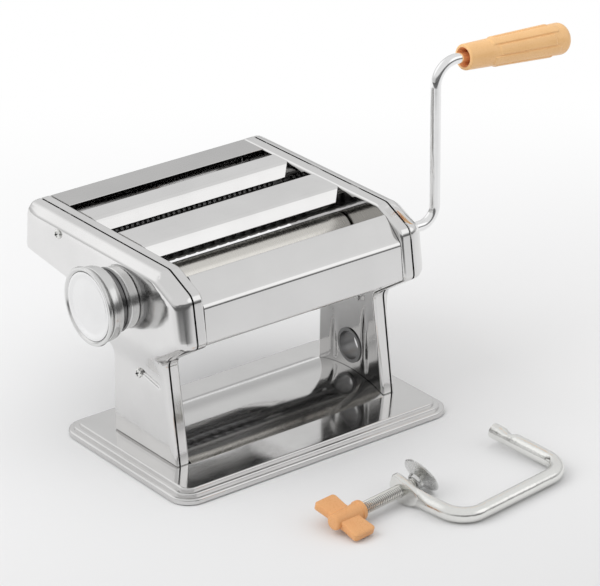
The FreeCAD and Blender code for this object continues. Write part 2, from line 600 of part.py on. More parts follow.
def keep(item):
    """Marks a document object as a finished sub-part."""
    SUBPARTS.append(item)
    return item


def keep_group(label, members):
    """Identical pieces that share a node."""
    compound = doc.addObject("Part::Compound", label)
    compound.Label = label
    compound.Links = members
    return keep(compound)


def cylinder(label, radius, height):
    made = doc.addObject("Part::Cylinder", label)
    made.Label = label
    made.setExpression("Radius", bind(radius))
    made.setExpression("Height", bind(height))
    return made


# ------------------------------------------------------------------------- shapes that no feature draws well
def piece(label, shape, placement=None):
    """One sub-part whose shape comes from the functions below."""
    item = doc.addObject("Part::Feature", label)
    item.Label = label
    item.Shape = shape
    if placement is not None:
        item.Placement = placement
    return keep(item)


def rod_x(radius, x0, x1, y, z):
    """A round bar along X."""
    low = min(x0, x1)
    return Part.makeCylinder(radius, abs(x1 - x0), Vector(low, y, z), Vector(1, 0, 0))


def mirror_x(shape):
    """The same shape on the other side of the machine's middle plane."""
    return shape.mirror(Vector(0, 0, 0), Vector(1, 0, 0))



# --------------------------------------------------------------------------------------------------- base
def base_layer(inset, z0, z1, fillet):
    """One step of the pressed base: a rounded block with softened top edges."""
    length = size("base_length") - 2 * inset
    depth = size("base_depth") - 2 * inset
    block = Part.makeBox(length, depth, z1 - z0, Vector(-length / 2, -depth / 2, z0))
    uprights = [edge for edge in block.Edges if abs(edge.tangentAt(edge.FirstParameter).z) > 0.9]
    block = block.makeFillet(max(size("base_corner") - inset, 1.0), uprights)
    rims = [edge for edge in block.Edges if edge.BoundBox.ZMin > z1 - 1e-4]
    return block.makeFillet(fillet, rims) if fillet > 0 else block


def arch(radius_trim, inset):
    """The low barrel arch between the legs that turns the dough outwards."""
    front, back = -size("arch_front"), size("arch_back")
    rise = size("arch_rise")
    half = (back - front) / 2
    radius = (half * half + rise * rise) / (2 * rise)
    middle = (front + back) / 2
    centre_z = size("platform_height") + rise - radius
    length = size("inner_width") - 2 * inset
    barrel = rod_x(radius - radius_trim, -length / 2, length / 2, middle, centre_z)
    floor = Part.makeBox(length + 2, 2 * half + 2, rise + 4,
                         Vector(-length / 2 - 1, front - 1, size("platform_height") - 2.0))
    return barrel.common(floor)


def make_base():
    """The pressed tray: three steps and the arch outside, the same less the sheet inside."""
    thick = size("base_sheet")
    steps = [(0.0, size("rim_lift"), size("rim_top"), size("rim_rounding")),
             (size("ledge_inset"), size("rim_lift"), size("ledge_top"), size("ledge_rounding")),
             (size("platform_inset"), size("rim_lift"), size("platform_height"), size("ledge_rounding"))]
    outside = base_layer(*steps[0]).fuse([base_layer(*step) for step in steps[1:]] + [arch(0.0, 0.3)])
    low = size("rim_lift") - 1.0
    inside = base_layer(thick, low, steps[0][2] - thick, 0.0)
    inside = inside.fuse([base_layer(inset + thick, low, top - thick, 0.0) for inset, _, top, _ in steps[1:]]
                         + [arch(thick, 0.3 + thick)])
    tray = outside.cut(inside)
    hole_z = size("platform_height") - 4
    holes = [Part.makeCylinder(size("screw_shank") / 2, 6, Vector(value(x), value(y), hole_z))
             for _, x, y in FOOT_SCREWS]
    piece("base_plate", tray.cut(holes).removeSplitter())


make_base()
feet = []
for number, (sx, sy) in enumerate([(-1, -1), (1, -1), (-1, 1), (1, 1)]):
    foot = cylinder(f"foot_{number}", "foot_dia / 2", "under_platform")
    feet.append(place_at(foot, f"{sx} * (base_length / 2 - foot_inset)",
                         f"{sy} * (base_depth / 2 - foot_inset)"))
keep_group("rubber_feet", feet)

# Round-headed screws point up from under the base, with their nuts on the frames' lower flanges.
foot_screws, foot_nuts = [], []
for number, (_, x, y) in enumerate(FOOT_SCREWS):
    screw = turned(f"base_screw_{number}", [
        ("under_platform - screw_cap", "0"), ("under_platform - screw_cap", "screw_head / 2"),
        ("under_platform", "screw_head / 2"), ("under_platform", "screw_shank / 2"),
        ("flange_top + nut_high + screw_tail", "screw_shank / 2"),
        ("flange_top + nut_high + screw_tail", "0")])
    foot_screws.append(place_at(screw, x, y, rotation=UPWARD))
    nut = new_body(f"base_nut_{number}")
    pad_z(nut, "flange_top", "flange_top + nut_high", (draw_polygon, hexagon_corners("nut_flats")),
          (draw_circle, "screw_shank / 2"))
    foot_nuts.append(place_at(nut, x, y))
keep_group("base_screws", foot_screws)
keep_group("base_nuts", foot_nuts)

# -------------------------------------------------------------------------------------------- side frames
# The machine's side view: head with sloping brow and long tail, on a tapering leg.
SIDE_CORNERS = [("-toe_front", "platform_height", "0.8"),
                ("heel_back", "platform_height", "0.8"),
                ("heel_throat_back", "roller_height - heel_throat_drop", "9"),
                ("belly_back", "roller_height - belly_drop", "26"),
                ("tail_y", "roller_height - tail_drop", "5"),
                ("tail_y - tail_lean", "top_z", "4"),
                ("drive_setback - top_turn", "top_z", "6"),
                ("drive_setback - brow_reach", "roller_height + brow_rise", "4"),
                ("drive_setback - nose_reach", "roller_height - nose_drop", "4"),
                ("-throat_front", "roller_height - throat_drop", "6")]


def make_frame(side):
    """A folded pan, open outwards, with the holes for everything that it carries."""
    frame = new_body("side_frame_" + SIDE_NAMES[side])
    pad_x(frame, side, "inner_face", "flange_edge", (draw_rounded, SIDE_CORNERS))
    cut_x(frame, side, "outer_face", "flange_edge", (draw_rounded, SIDE_CORNERS, "frame_sheet"))
    holes = [(draw_circle, "wide_bush", "drive_setback", "roller_height")]
    holes += [(draw_circle, "slim_bush", y, "cutter_height") for y in CUTTERS.values()]
    holes.append((draw_oblong, "2 * (boss_radius + slot_play)", "2 * (boss_radius + slot_play) + slide + 0.2",
                  "rear_y - slide / 2", "roller_height"))
    holes.append((draw_oblong, "tie_bar_dia + 2 * slot_play", "tie_bar_dia + 2 * slot_play + slide + 0.4",
                  "bar_y - slide / 2", "bar_z"))
    holes += [(draw_circle, "screw_shank / 2", y, z) for y, z in TIE_RODS]
    holes += [(draw_circle, "post_stem", y, z) for y, z in COVER_POSTS[side]]
    if side > 0:
        holes.append((draw_circle, "clamp_hole / 2 + sleeve_wall", "clamp_hole_y", "clamp_hole_z"))
    else:
        holes += [(draw_circle, "screw_shank / 2", "knob_y", z) for z in BRACKET_SCREWS]
    cut_x(frame, side, "inner_face", "outer_face", *holes)
    cut_z(frame, "platform_height", "flange_top",
          *[(draw_circle, "screw_shank / 2", x, y) for where, x, y in FOOT_SCREWS if where == side])
    keep(frame)


for side in SIDE_NAMES:
    make_frame(side)


# -------------------------------------------------------------------------------------------- side covers
def rounded(corners, inset=0.0):
    """Closed outline through (y, z, radius) corners, anticlockwise seen from +X, moved in by inset."""
    count = len(corners)
    lines = []
    for i in range(count):
        (y0, z0, _), (y1, z1, _) = corners[i], corners[(i + 1) % count]
        length = math.hypot(y1 - y0, z1 - z0)
        direction = ((y1 - y0) / length, (z1 - z0) / length)
        start = (y0 - direction[1] * inset, z0 + direction[0] * inset)
        lines.append((start, direction))
    edges, joins = [], []
    for i in range(count):
        (p, d), (q, e) = lines[i - 1], lines[i]
        cross = d[0] * e[1] - d[1] * e[0]
        reach = ((q[0] - p[0]) * e[1] - (q[1] - p[1]) * e[0]) / cross
        corner = (p[0] + d[0] * reach, p[1] + d[1] * reach)
        radius = corners[i][2] - inset if cross > 0 else corners[i][2] + inset
        radius = max(radius, 0.4)
        turn = math.atan2(cross, d[0] * e[0] + d[1] * e[1])
        back = radius * math.tan(abs(turn) / 2)
        first = (corner[0] - d[0] * back, corner[1] - d[1] * back)
        last = (corner[0] + e[0] * back, corner[1] + e[1] * back)
        bulge = radius * (1 / math.cos(turn / 2) - 1)
        toward = ((e[0] - d[0]), (e[1] - d[1]))
        scale = bulge / math.hypot(*toward)
        middle = (corner[0] + toward[0] * scale, corner[1] + toward[1] * scale)
        joins.append([Vector(0, *point) for point in (first, middle, last)])
    for i in range(count):
        edges.append(Part.Arc(*joins[i]).toShape())
        edges.append(Part.makeLine(joins[i][2], joins[(i + 1) % count][0]))
    return Part.Wire(edges)


def at_x(wire, x):
    """A copy of a wire moved to x."""
    moved = wire.copy()
    moved.translate(Vector(x, 0, 0))
    return moved


def bulged(grow_in, trim_x, start):
    """The covers' swollen outline: rings that step in along a quarter ellipse up to the outer face."""
    corners = [tuple(value(text) for text in corner) for corner in SIDE_CORNERS]
    rings = []
    steps = 7
    for k in range(steps + 1):
        angle = math.pi / 2 * k / steps
        inset = size("cover_inset") * (1 - math.cos(angle)) + grow_in
        x = size("cover_rim") + (size("cover_bulge") - trim_x) * math.sin(angle)
        rings.append(at_x(rounded(corners, inset), x if k else start))
    return Part.makeLoft(rings, True, True)


def swell_wedge(trim):
    """What is cut away so that the cover lies close to the leg and swells out below the head."""
    leg_x = size("cover_rim") + size("leg_bulge") - trim
    low, high = size("ledge_height"), size("ledge_height") + size("swell_height")
    far = size("cover_face") + 20
    out_x = leg_x + size("cover_bulge") - size("leg_bulge") + 0.01
    slope = (out_x - leg_x) / (high - low)
    profile = [Vector(leg_x, -300, -10), Vector(far, -300, -10),
               Vector(far, -300, low + (far - leg_x) / slope), Vector(leg_x, -300, low)]
    return Part.Face(Part.makePolygon(profile + profile[:1])).extrude(Vector(0, 600, 0))


def make_cover(side):
    sheet_thick = size("cover_sheet")
    rim = size("cover_rim")
    outside = bulged(0.0, 0.0, rim).cut(swell_wedge(0.0))
    inside = bulged(sheet_thick, sheet_thick, rim - 0.5).cut(swell_wedge(sheet_thick))
    holes = [("cover_screw / 2", y, z) for y, z in COVER_POSTS[side]]
    if side > 0:
        holes += [("crank_hole / 2", "drive_setback", "roller_height"),
                  ("crank_hole / 2", "wide_front_y", "cutter_height"),
                  ("crank_hole / 2", "narrow_front_y", "cutter_height"),
                  ("clamp_hole / 2 + sleeve_wall", "clamp_hole_y", "clamp_hole_z")]
    else:
        holes.append(("regulator_shaft_dia / 2 + dial_bore", "knob_y", "knob_z"))
    drills = [rod_x(value(radius), rim, size("cover_face") + 1, value(y), value(z)) for radius, y, z in holes]
    cover = outside.cut(inside).cut(drills)
    piece("side_cover_" + SIDE_NAMES[side], cover if side > 0 else mirror_x(cover))


for side in SIDE_NAMES:
    make_cover(side)


def cover_height(z):
    """Outer face of a cover at height z: swelling out above the leg, rounding over at the top."""
    swell = f"min(max((({z}) - ledge_height) / swell_height; 0); 1) * (cover_bulge - leg_bulge)"
    over = f"max(1 - (top_z - ({z})) / cover_inset; 0)"
    return f"min(cover_rim + leg_bulge + {swell}; cover_rim + cover_bulge * sqrt(1 - ({over}) ^ 2))"


# Pillars riveted to the frames, and the cross-headed screws that hold the covers to them.
CROSS = [("1.6", "0.4"), ("0.4", "0.4"), ("0.4", "1.6"), ("-0.4", "1.6"),
         ("-0.4", "0.4"), ("-1.6", "0.4"), ("-1.6", "-0.4"), ("-0.4", "-0.4"),
         ("-0.4", "-1.6"), ("0.4", "-1.6"), ("0.4", "-0.4"), ("1.6", "-0.4")]
posts, cover_screws = [], []
for side, spots in COVER_POSTS.items():
    for number, (y, z) in enumerate(spots):
        name = f"{SIDE_NAMES[side]}_{number}"
        low, high = cover_height(f"{z} - post_radius"), cover_height(f"{z} + post_radius + cover_sheet")
        end = f"min({low}; {high}) - cover_sheet - 0.3"
        posts.append(turned("cover_post_" + name, [
            ("inner_face - 0.7", "0"), ("inner_face - 0.7", "post_radius"), ("inner_face", "post_radius"),
            ("inner_face", "post_stem"), ("outer_face", "post_stem"), ("outer_face", "post_radius"),
            (end, "post_radius"), (end, "cover_screw / 2"), (f"{end} - 4", "cover_screw / 2"),
            (f"{end} - 4", "0")], side))
        low, high = cover_height(f"{z} - screw_head / 2"), cover_height(f"{z} + screw_head / 2")
        seat = f"max({low}; {high}; {cover_height(z)}) + 0.02"
        screw = turned("cover_screw_" + name, [
            (f"{seat} - 3.6", "0"), (f"{seat} - 3.6", "cover_screw / 2"), (seat, "cover_screw / 2"),
            (seat, "screw_head / 2"), (f"{seat} + 0.9", "screw_head / 2 - 0.1"),
            (f"{seat} + 1.9", "screw_head / 2 - 1.3"), (f"{seat} + 2.1", "0")], side)
        cut_x(screw, side, f"{seat} + 1.1", f"{seat} + 2.6", (draw_polygon, CROSS))
        cover_screws.append(screw)
        for item in (posts[-1], screw):
            place_at(item, "0", y, z)
keep_group("cover_posts", posts)
keep_group("cover_screws", cover_screws)


# ------------------------------------------------------------------------------- sheets between the frames
def bent_sheet(label, path):
    """A folded sheet that reaches from frame to frame."""
    body = new_body(label)
    sketch = sketch_on(body, "YZ_Plane", "-inner_face")
    places, offset = draw_strip(sketch, path, "plate_sheet")
    pad = feature(sketch, "Pad", Length="inner_width")
    fold_edges(pad, places, offset, "sheet_fold", "plate_sheet")
    return keep(body)


# Over the drive roller: sloping brow, upright face, and a lip along both edges.
bent_sheet("front_cover", [
    ("panel_top_y + 1.2", "panel_top_z - panel_lip"), ("panel_top_y", "panel_top_z"),
    ("drive_setback - brow_reach - panel_brow_step", "roller_height + brow_rise - panel_brow_drop"),
    ("panel_nose_y", "panel_nose_z"), ("panel_nose_y + panel_lip", "panel_nose_z - panel_lip * 0.68")])


def guide_plate(label, crease, back):
    """A sheet between two slots: level top, a slope down to the slot in front, a lip down behind."""
    near = f"{crease} - slope_run"
    body = bent_sheet(label, [(back, "plate_top - plate_lip"), (back, "plate_top"), (crease, "plate_top"),
                              (near, "plate_top - slope_fall")])
    for sign in (-1, 1):
        cut_z(body, "plate_top - slope_fall - 5", "top_z + 5",
              (draw_polygon, [(f"{sign} * (inner_face + 1)", crease), (f"{sign} * inner_face", crease),
                              (f"{sign} * (inner_face - slope_end_cut)", f"{near} - 1.5"),
                              (f"{sign} * (inner_face + 1)", f"{near} - 1.5")]))


guide_plate("guide_plate_front", "smooth_nip + 18.4", "wide_nip - 7.3")
guide_plate("guide_plate_rear", "wide_nip + 19.5", "narrow_nip - 5.1")

# Behind the last slot: a level top and a back wall down the tail.
bent_sheet("rear_cover", [("tail_y - 2.2", "roller_height - tail_drop + 1.5"),
                          ("tail_y - tail_lean - 1.6", "plate_top"), ("narrow_nip + 6", "plate_top"),
                          ("narrow_nip + 4.6", "plate_top - 2.2")])

# ------------------------------------------------------------------------------------ rods between the frames
rods, rod_screws = [], []
for number, (y, z) in enumerate(TIE_RODS):
    rod = turned(f"tie_rod_{number}", [
        ("-inner_face", "screw_shank / 2"), ("-inner_face", "tie_rod_dia / 2"),
        ("inner_face", "tie_rod_dia / 2"), ("inner_face", "screw_shank / 2"),
        ("inner_face - rod_tap", "screw_shank / 2"), ("inner_face - rod_tap", "0"),
        ("rod_tap - inner_face", "0"), ("rod_tap - inner_face", "screw_shank / 2")])
    rods.append(place_at(rod, "0", y, z))
    for side, name in SIDE_NAMES.items():
        screw = turned(f"tie_rod_screw_{name}_{number}", [
            ("inner_face - rod_tap + 1", "0"), ("inner_face - rod_tap + 1", "screw_shank / 2"),
            ("outer_face", "screw_shank / 2"), ("outer_face", "screw_head / 2"),
            ("outer_face + 2.2", "screw_head / 2"), ("outer_face + 2.2", "0")], side)
        rod_screws.append(place_at(screw, "0", y, z))
keep_group("tie_rods", rods)
keep_group("tie_rod_screws", rod_screws)


# ------------------------------------------------------------------------------------------------- bushes
def bush(label, bore, wall, side):
    """A flanged bush pushed into its frame from outside; on the right its flange spaces the gear."""
    end = "gear_x - 0.3" if side > 0 else "outer_face + 2"
    return turned(label, [("inner_face - 0.6", bore), ("inner_face - 0.6", wall), ("outer_face", wall),
                          ("outer_face", f"{wall} + bush_flange"), (end, f"{wall} + bush_flange"),
                          (end, bore)], side)


keep_group("drive_bushes", [
    place_at(bush(f"drive_bush_{name}", "drive_journal / 2 + running_fit", "wide_bush", side),
             "0", "drive_setback", "roller_height") for side, name in SIDE_NAMES.items()])
keep_group("cutter_bushes", [
    place_at(bush(f"{cutter}_bush_{name}", "journal_dia / 2 + running_fit", "slim_bush", side),
             "0", y, "cutter_height") for cutter, y in CUTTERS.items() for side, name in SIDE_NAMES.items()])

# ----------------------------------------------------------------------------------------- smooth rollers
# The three shafts that the crank can drive end in a round mouth before their hexagonal bore.
SOCKET_MOUTH = [("shaft_end", "socket_mouth"), ("shaft_end - mouth_depth", "socket_mouth"),
                ("shaft_end - mouth_depth", "0")]


def bore_socket(body):
    cut_x(body, 1, "shaft_end - socket_depth", "shaft_end - mouth_depth + 1",
          (draw_polygon, hexagon_corners("hex_flats + hex_play")))


def smooth_roller(label, journal, left, right, y):
    """A smooth roller on its journals; right holds the points that finish its right end."""
    body = turned(label, [(f"-{left}", "0"), (f"-{left}", journal), ("-roller_end", journal),
                          ("-roller_end", "roller_dia / 2 - 0.5"), ("0.5 - roller_end", "roller_dia / 2"),
                          ("roller_end - 0.5", "roller_dia / 2"), ("roller_end", "roller_dia / 2 - 0.5"),
                          ("roller_end", journal)] + right)
    return keep(place_at(body, "0", y, "roller_height"))


bore_socket(smooth_roller("drive_roller", "drive_journal / 2", "left_end",
                          [("shaft_end", "drive_journal / 2")] + SOCKET_MOUTH, "drive_setback"))
smooth_roller("rear_roller", "journal_dia / 2", "left_journal_end",
              [("gear_out", "journal_dia / 2"), ("gear_out", "0")], "rear_y")


def gear(label, teeth, tip, root, tip_share, bore, y, z, half_tooth):
    """A spur gear with straight-sided teeth; tip_share is of the pitch at the middle of the tooth."""
    body = new_body(label)
    pad_x(body, 1, "gear_x", "gear_out", (draw_circle, root), (draw_circle, bore))
    corners = []
    for radius, share in ((root, -0.5), (tip, -tip_share), (tip, tip_share), (root, 0.5)):
        angle = f"{share} * 90 * ({tip} + {root}) / ({teeth} * {radius})"
        corners.append((f"{radius} * cos({angle})", f"{radius} * sin({angle})"))
    tooth = pad_x(body, 1, "gear_x", "gear_out", (draw_polygon, corners))
    repeated(tooth, "Polar", "N_Axis", str(teeth)).Angle = 360
    turn = Rotation(Vector(1, 0, 0), 180 / teeth if half_tooth else 0)
    keep(place_at(body, "0", y, z, turn))


SMOOTH_TEETH = 12
gear("drive_gear", SMOOTH_TEETH, "smooth_tip", "smooth_root", 0.17, "drive_journal / 2",
     "drive_setback", "roller_height", False)
gear("rear_gear", SMOOTH_TEETH, "smooth_tip", "smooth_root", 0.17, "journal_dia / 2",
     "rear_y", "roller_height", True)


def scraper(label, y0, y1):
    """A blade under a smooth roller."""
    body = new_body(label)
    pad_z(body, "scraper_top - scraper_sheet", "scraper_top",
          (draw_polygon, box_corners("-inner_face", "inner_face", y0, y1)))
    keep(body)


scraper("scraper_front", "drive_setback - 12", "drive_setback - 1")
scraper("scraper_rear", "rear_y - slide - 1", "bar_y - slide - tie_bar_dia / 2 - 1")


# ------------------------------------------------------------------------------------------------ cutters
def row_of(kind, first):
    """First place and number of the rings in a row: one on the middle (first 0) or half a pitch along (1)."""
    return f"(2 * {first} - 4 * {kind}_rings) * {kind}_ribbon / 2", f"2 * {kind}_rings + 1 - {first}"


def cutter(label, kind, shifted, y, socket):
    """A grooved roller turned from one bar; its partner's discs stand half a pitch along."""
    right = [("shaft_end", "journal_dia / 2")] + SOCKET_MOUTH
    body = turned(label, [("-left_end", "0"), ("-left_end", "journal_dia / 2"),
                          ("-roller_end", "journal_dia / 2"), ("-roller_end", "cutter_core"),
                          ("roller_end", "cutter_core"), ("roller_end", "journal_dia / 2")]
                  + (right if socket else [("gear_out", "journal_dia / 2"), ("gear_out", "0")]))
    start, count = row_of(kind, shifted)
    half = f"({kind}_ribbon - disc_play) / 2"
    sketch = sketch_on(body, "XY_Plane")
    draw_polygon(sketch, box_corners(f"{start} - {half}", f"{start} + {half}",
                                     "cutter_core - 1", "cutter_dia / 2"))
    disc = feature(sketch, "Revolution")
    disc.ReferenceAxis = (sketch, ["H_Axis"])
    disc.Angle = 360
    repeated(disc, "Linear", "H_Axis", count, Length=f"(({count}) - 1) * 2 * {kind}_ribbon")
    if socket:
        bore_socket(body)
    keep(place_at(body, "0", y, "cutter_height"))


CUTTER_TEETH = 16
for kind in ("wide", "narrow"):
    for place in ("front", "rear"):
        y = CUTTERS[f"{kind}_{place}"]
        cutter(f"{kind}_cutter_{place}", kind, int(place == "rear"), y, place == "front")
        gear(f"{kind}_gear_{place}", CUTTER_TEETH, "cutter_tip", "cutter_root", 0.2, "journal_dia / 2",
             y, "cutter_height", place == "rear")


def comb(label, spine_low, spine_high, fingers):
    """A stripping comb: a flat spine with fingers that reach into the grooves of the cutters beside it."""
    body = new_body(label)
    heights = ("cutter_height - comb_drop - comb_sheet / 2", "cutter_height - comb_drop + comb_sheet / 2")
    pad_z(body, *heights, (draw_polygon, box_corners("-inner_face", "inner_face", spine_low, spine_high)))
    for kind, first, y0, y1 in fingers:
        start, count = row_of(kind, first)
        half = f"({kind}_ribbon - comb_play) / 2"
        corners = box_corners(f"{start} - {half}", f"{start} + {half}", y0, y1)
        finger = pad_z(body, *heights, (draw_polygon, corners))
        repeated(finger, "Linear", "H_Axis", count, Length=f"(({count}) - 1) * 2 * {kind}_ribbon")
    keep(body)


comb("comb_front", "wide_front_y - disc_chord - 3.2", "wide_front_y - disc_chord",
     [("wide", 1, "wide_front_y - disc_chord - 0.5", "wide_front_y - core_chord")])
comb("comb_middle", "wide_rear_y + disc_chord", "narrow_front_y - disc_chord",
     [("wide", 0, "wide_rear_y + core_chord", "wide_rear_y + disc_chord + 0.5"),
      ("narrow", 1, "narrow_front_y - disc_chord - 0.5", "narrow_front_y - core_chord")])
comb("comb_rear", "narrow_rear_y + disc_chord", "narrow_rear_y + disc_chord + 3.2",
     [("narrow", 0, "narrow_rear_y + core_chord", "narrow_rear_y + disc_chord + 0.5")])


# ------------------------------------------------------------------------------------ thickness regulator
def carriage_block(side, out, extra, journal_end):
    """A block that slides outside its frame on the boss in the frame's slot and carries the rear roller."""
    high = "(boss_radius + 2)"
    body = new_body("carriage_block_" + SIDE_NAMES[side])
    back = f"rear_y + {high} + {extra}"
    pad_x(body, side, "block_in", out, (draw_rounded, [
        (f"rear_y - {high}", f"roller_height - {high}", "3"), ("bar_y - 5", "bar_z - 4.5", "2.5"),
        ("bar_y + 4.5", "bar_z - 4.5", "2.5"), (back, f"roller_height - {high}", "3"),
        (back, f"roller_height + {high}", "3"), (f"rear_y - {high}", f"roller_height + {high}", "3")]))
    pad_x(body, side, "inner_face - 0.6", "block_in", (draw_circle, "boss_radius", "rear_y", "roller_height"))
    cut_x(body, side, "block_in", out, (draw_circle, "tie_bar_dia / 2", "bar_y", "bar_z"))
    cut_x(body, side, "inner_face - 0.6", journal_end,
          (draw_circle, "journal_dia / 2 + running_fit", "rear_y", "roller_height"))
    return keep(body)


carriage_block(1, "gear_x - 0.3", "0", "gear_x - 0.3")
left_block = carriage_block(-1, "cam_out", "knob_offset + 4", "left_journal_end + 0.2")
cut_x(left_block, -1, "cam_in", "cam_out", (draw_polygon, box_corners(
    "knob_y + cam_throw - cam_dia / 2 - cam_side_play", "knob_y + cam_throw + cam_dia / 2 + cam_side_play",
    "knob_z - cam_dia / 2 - cam_throw - 0.3", "knob_z + cam_dia / 2 + cam_throw + 0.3")))
tie_bar = cylinder("carriage_tie_bar", "tie_bar_dia / 2", "2 * (outer_face + 3)")
keep(place_at(tie_bar, "-outer_face - 3", "bar_y", "bar_z", Rotation(Vector(0, 1, 0), 90)))


def make_bracket():
    """A strap over the left block, screwed to the frame, that carries the regulator shaft."""
    high, low = BRACKET_FEET
    body = new_body("regulator_bracket")
    sketch = sketch_on(body, "XZ_Plane", "-knob_y - bracket_width / 2")
    draw_strip(sketch, [("-outer_face", f"{low} - bracket_foot / 2"),
                        ("-outer_face", f"{low} + bracket_foot / 2"),
                        ("-bracket_face", f"{low} + bracket_foot / 2"),
                        ("-bracket_face", f"{high} - bracket_foot / 2"),
                        ("-outer_face", f"{high} - bracket_foot / 2"),
                        ("-outer_face", f"{high} + bracket_foot / 2")], "bracket_sheet")
    feature(sketch, "Pad", Length="bracket_width")
    cut_x(body, -1, "bracket_face", "bracket_face + bracket_sheet",
          (draw_circle, "regulator_shaft_dia / 2 + running_fit", "knob_y", "knob_z"))
    cut_x(body, -1, "outer_face", "outer_face + bracket_sheet",
          *[(draw_circle, "screw_shank / 2", "knob_y", z) for z in BRACKET_SCREWS])
    keep(body)


make_bracket()
bracket_screws = []
for number, z in enumerate(BRACKET_SCREWS):
    seat = "outer_face + bracket_sheet"
    screw = turned(f"bracket_screw_{number}", [
        ("inner_face - 1.2", "0"), ("inner_face - 1.2", "screw_shank / 2"), (seat, "screw_shank / 2"),
        (seat, "screw_head / 2"), (f"{seat} + 2", "screw_head / 2"), (f"{seat} + 2", "0")], -1)
    bracket_screws.append(place_at(screw, "0", "knob_y", z))
keep_group("bracket_screws", bracket_screws)

shaft = turned("regulator_shaft", [
    ("cam_out - 0.2", "0"), ("cam_out - 0.2", "regulator_shaft_dia / 2"),
    ("shaft_out - 1.5", "regulator_shaft_dia / 2"), ("shaft_out - 1.5", "regulator_shaft_dia / 2 + 2"),
    ("shaft_out", "regulator_shaft_dia / 2 + 2"), ("shaft_out", "0")], -1)
pad_x(shaft, -1, "cam_in + 0.3", "cam_out - 0.2", (draw_circle, "cam_dia / 2", "cam_throw", "0"))
keep(place_at(shaft, "0", "knob_y", "knob_z"))

# The fixed disc on the left cover, with a ring of nine dimples, one for each thickness.
dial = turned("regulator_dial", [
    ("cover_face", "regulator_shaft_dia / 2 + dial_bore"), ("cover_face", "dial_dia / 2"),
    ("dial_face - 0.6", "dial_dia / 2"), ("dial_face", "dial_dia / 2 - 0.6"),
    ("dial_face", "regulator_shaft_dia / 2 + dial_bore")], -1)
dimple = cut_x(dial, -1, "dial_face - 1", "dial_face", (draw_circle, "1.2", "14", "0"))
repeated(dimple, "Polar", "N_Axis", "9").Angle = 180
keep(place_at(dial, "0", "knob_y", "knob_z"))

# A turned knob: bright body with a lip and groove at its face, a neck behind, hollow for its spring.
KNOB_PROFILE = [("knob_back", "knob_bore"), ("knob_back", "knob_dia / 2 - 5.2"),
                ("knob_back + 1.6", "knob_dia / 2 - 4.6"), ("knob_back + 2.4", "knob_dia / 2 - 6"),
                ("knob_back + 5.2", "knob_dia / 2 - 5.6"),
                ("knob_back + 7.2", "knob_dia / 2 - 1.9"), ("knob_front - 3.6", "knob_dia / 2 - 1.3"),
                ("knob_front - 3.4", "knob_dia / 2 - 2.1"), ("knob_front - 2.6", "knob_dia / 2 - 2.1"),
                ("knob_front - 2.5", "knob_dia / 2 - 0.4"), ("knob_front - 1.2", "knob_dia / 2"),
                ("knob_front - 0.2", "knob_dia / 2 - 0.5"), ("knob_front", "knob_dia / 2 - 1.4"),
                ("knob_front", "knob_dia / 2 - 3.2"), ("knob_front - 1.6", "knob_dia / 2 - 3.6"),
                ("knob_front - 1.6", "spring_room"), ("knob_floor", "spring_room"),
                ("knob_floor", "knob_bore")]
keep(place_at(turned("regulator_knob", KNOB_PROFILE, -1), "0", "knob_y", "knob_z"))
knob_cap = turned("knob_cap", [
    ("knob_front - 1.6", "0"), ("knob_front - 1.6", "knob_dia / 2 - 3.7"),
    ("knob_front - 0.5", "knob_dia / 2 - 3.8"), ("knob_front - 0.8", "knob_dia / 2 - 6.7"),
    ("knob_front - 1.1", "0")], -1)
keep(place_at(knob_cap, "0", "knob_y", "knob_z"))


def coil_spring(start, turns, pitch, radius, wire, y, z):
    """A round-wire coil spring along X, its helix drawn as quarter-turn arcs."""
    def on_coil(quarters):
        angle = quarters * math.pi / 2
        along = start + pitch * quarters / 4
        return Vector(along, y + radius * math.cos(angle), z + radius * math.sin(angle))
    arcs = [Part.Arc(on_coil(k), on_coil(k + 0.5), on_coil(k + 1)).toShape() for k in range(int(4 * turns))]
    section = Part.Wire(Part.makeCircle(wire, on_coil(0), on_coil(0.01) - on_coil(0)))
    return Part.Wire(arcs).makePipeShell([section], True, False)


SPRING_START = size("knob_floor") + 0.75
SPRING_RADIUS = size("regulator_shaft_dia") / 2 + 1.4
SPRING_TURNS = 2.5
SPRING_PITCH = (size("shaft_out") - 1.5 - size("knob_travel") - size("knob_floor") - 1.7) / SPRING_TURNS
piece("knob_spring", mirror_x(coil_spring(SPRING_START, SPRING_TURNS, SPRING_PITCH, SPRING_RADIUS, 0.5,
                                          size("knob_y"), size("knob_z"))))

# ----------------------------------------------------------------------------------------- clamp sleeve
sleeve = turned("clamp_sleeve", [
    ("inner_face - sleeve_lip", "clamp_hole / 2"),
    ("inner_face - sleeve_lip", "clamp_hole / 2 + sleeve_wall + 1.2"),
    ("inner_face", "clamp_hole / 2 + sleeve_wall + 1.2"), ("inner_face", "clamp_hole / 2 + sleeve_wall"),
    ("cover_rim + leg_bulge + 0.6", "clamp_hole / 2 + sleeve_wall"),
    ("cover_rim + leg_bulge + 0.6", "clamp_hole / 2")])
keep(place_at(sleeve, "0", "clamp_hole_y", "clamp_hole_z"))


# -------------------------------------------------------------------------------------------------- crank
ARM_TOP = Vector(size("crank_standoff"), size("drive_setback"), size("roller_height") + size("crank_throw"))
DROOPED = Rotation(Vector(0, 1, 0), size("grip_droop"))
GRIP_AXIS = DROOPED.multVec(Vector(1, 0, 0))


def bend(before, corner, after, radius):
    """The arc that rounds a corner of the rod, with its two tangent points."""
    incoming = (corner - before).normalize()
    outgoing = (after - corner).normalize()
    turn = incoming.getAngle(outgoing)
    back = radius * math.tan(turn / 2)
    first, last = corner - incoming * back, corner + outgoing * back
    inward = (outgoing - incoming).normalize()
    middle = corner + inward * (radius / math.cos(turn / 2) - radius)
    return first, middle, last


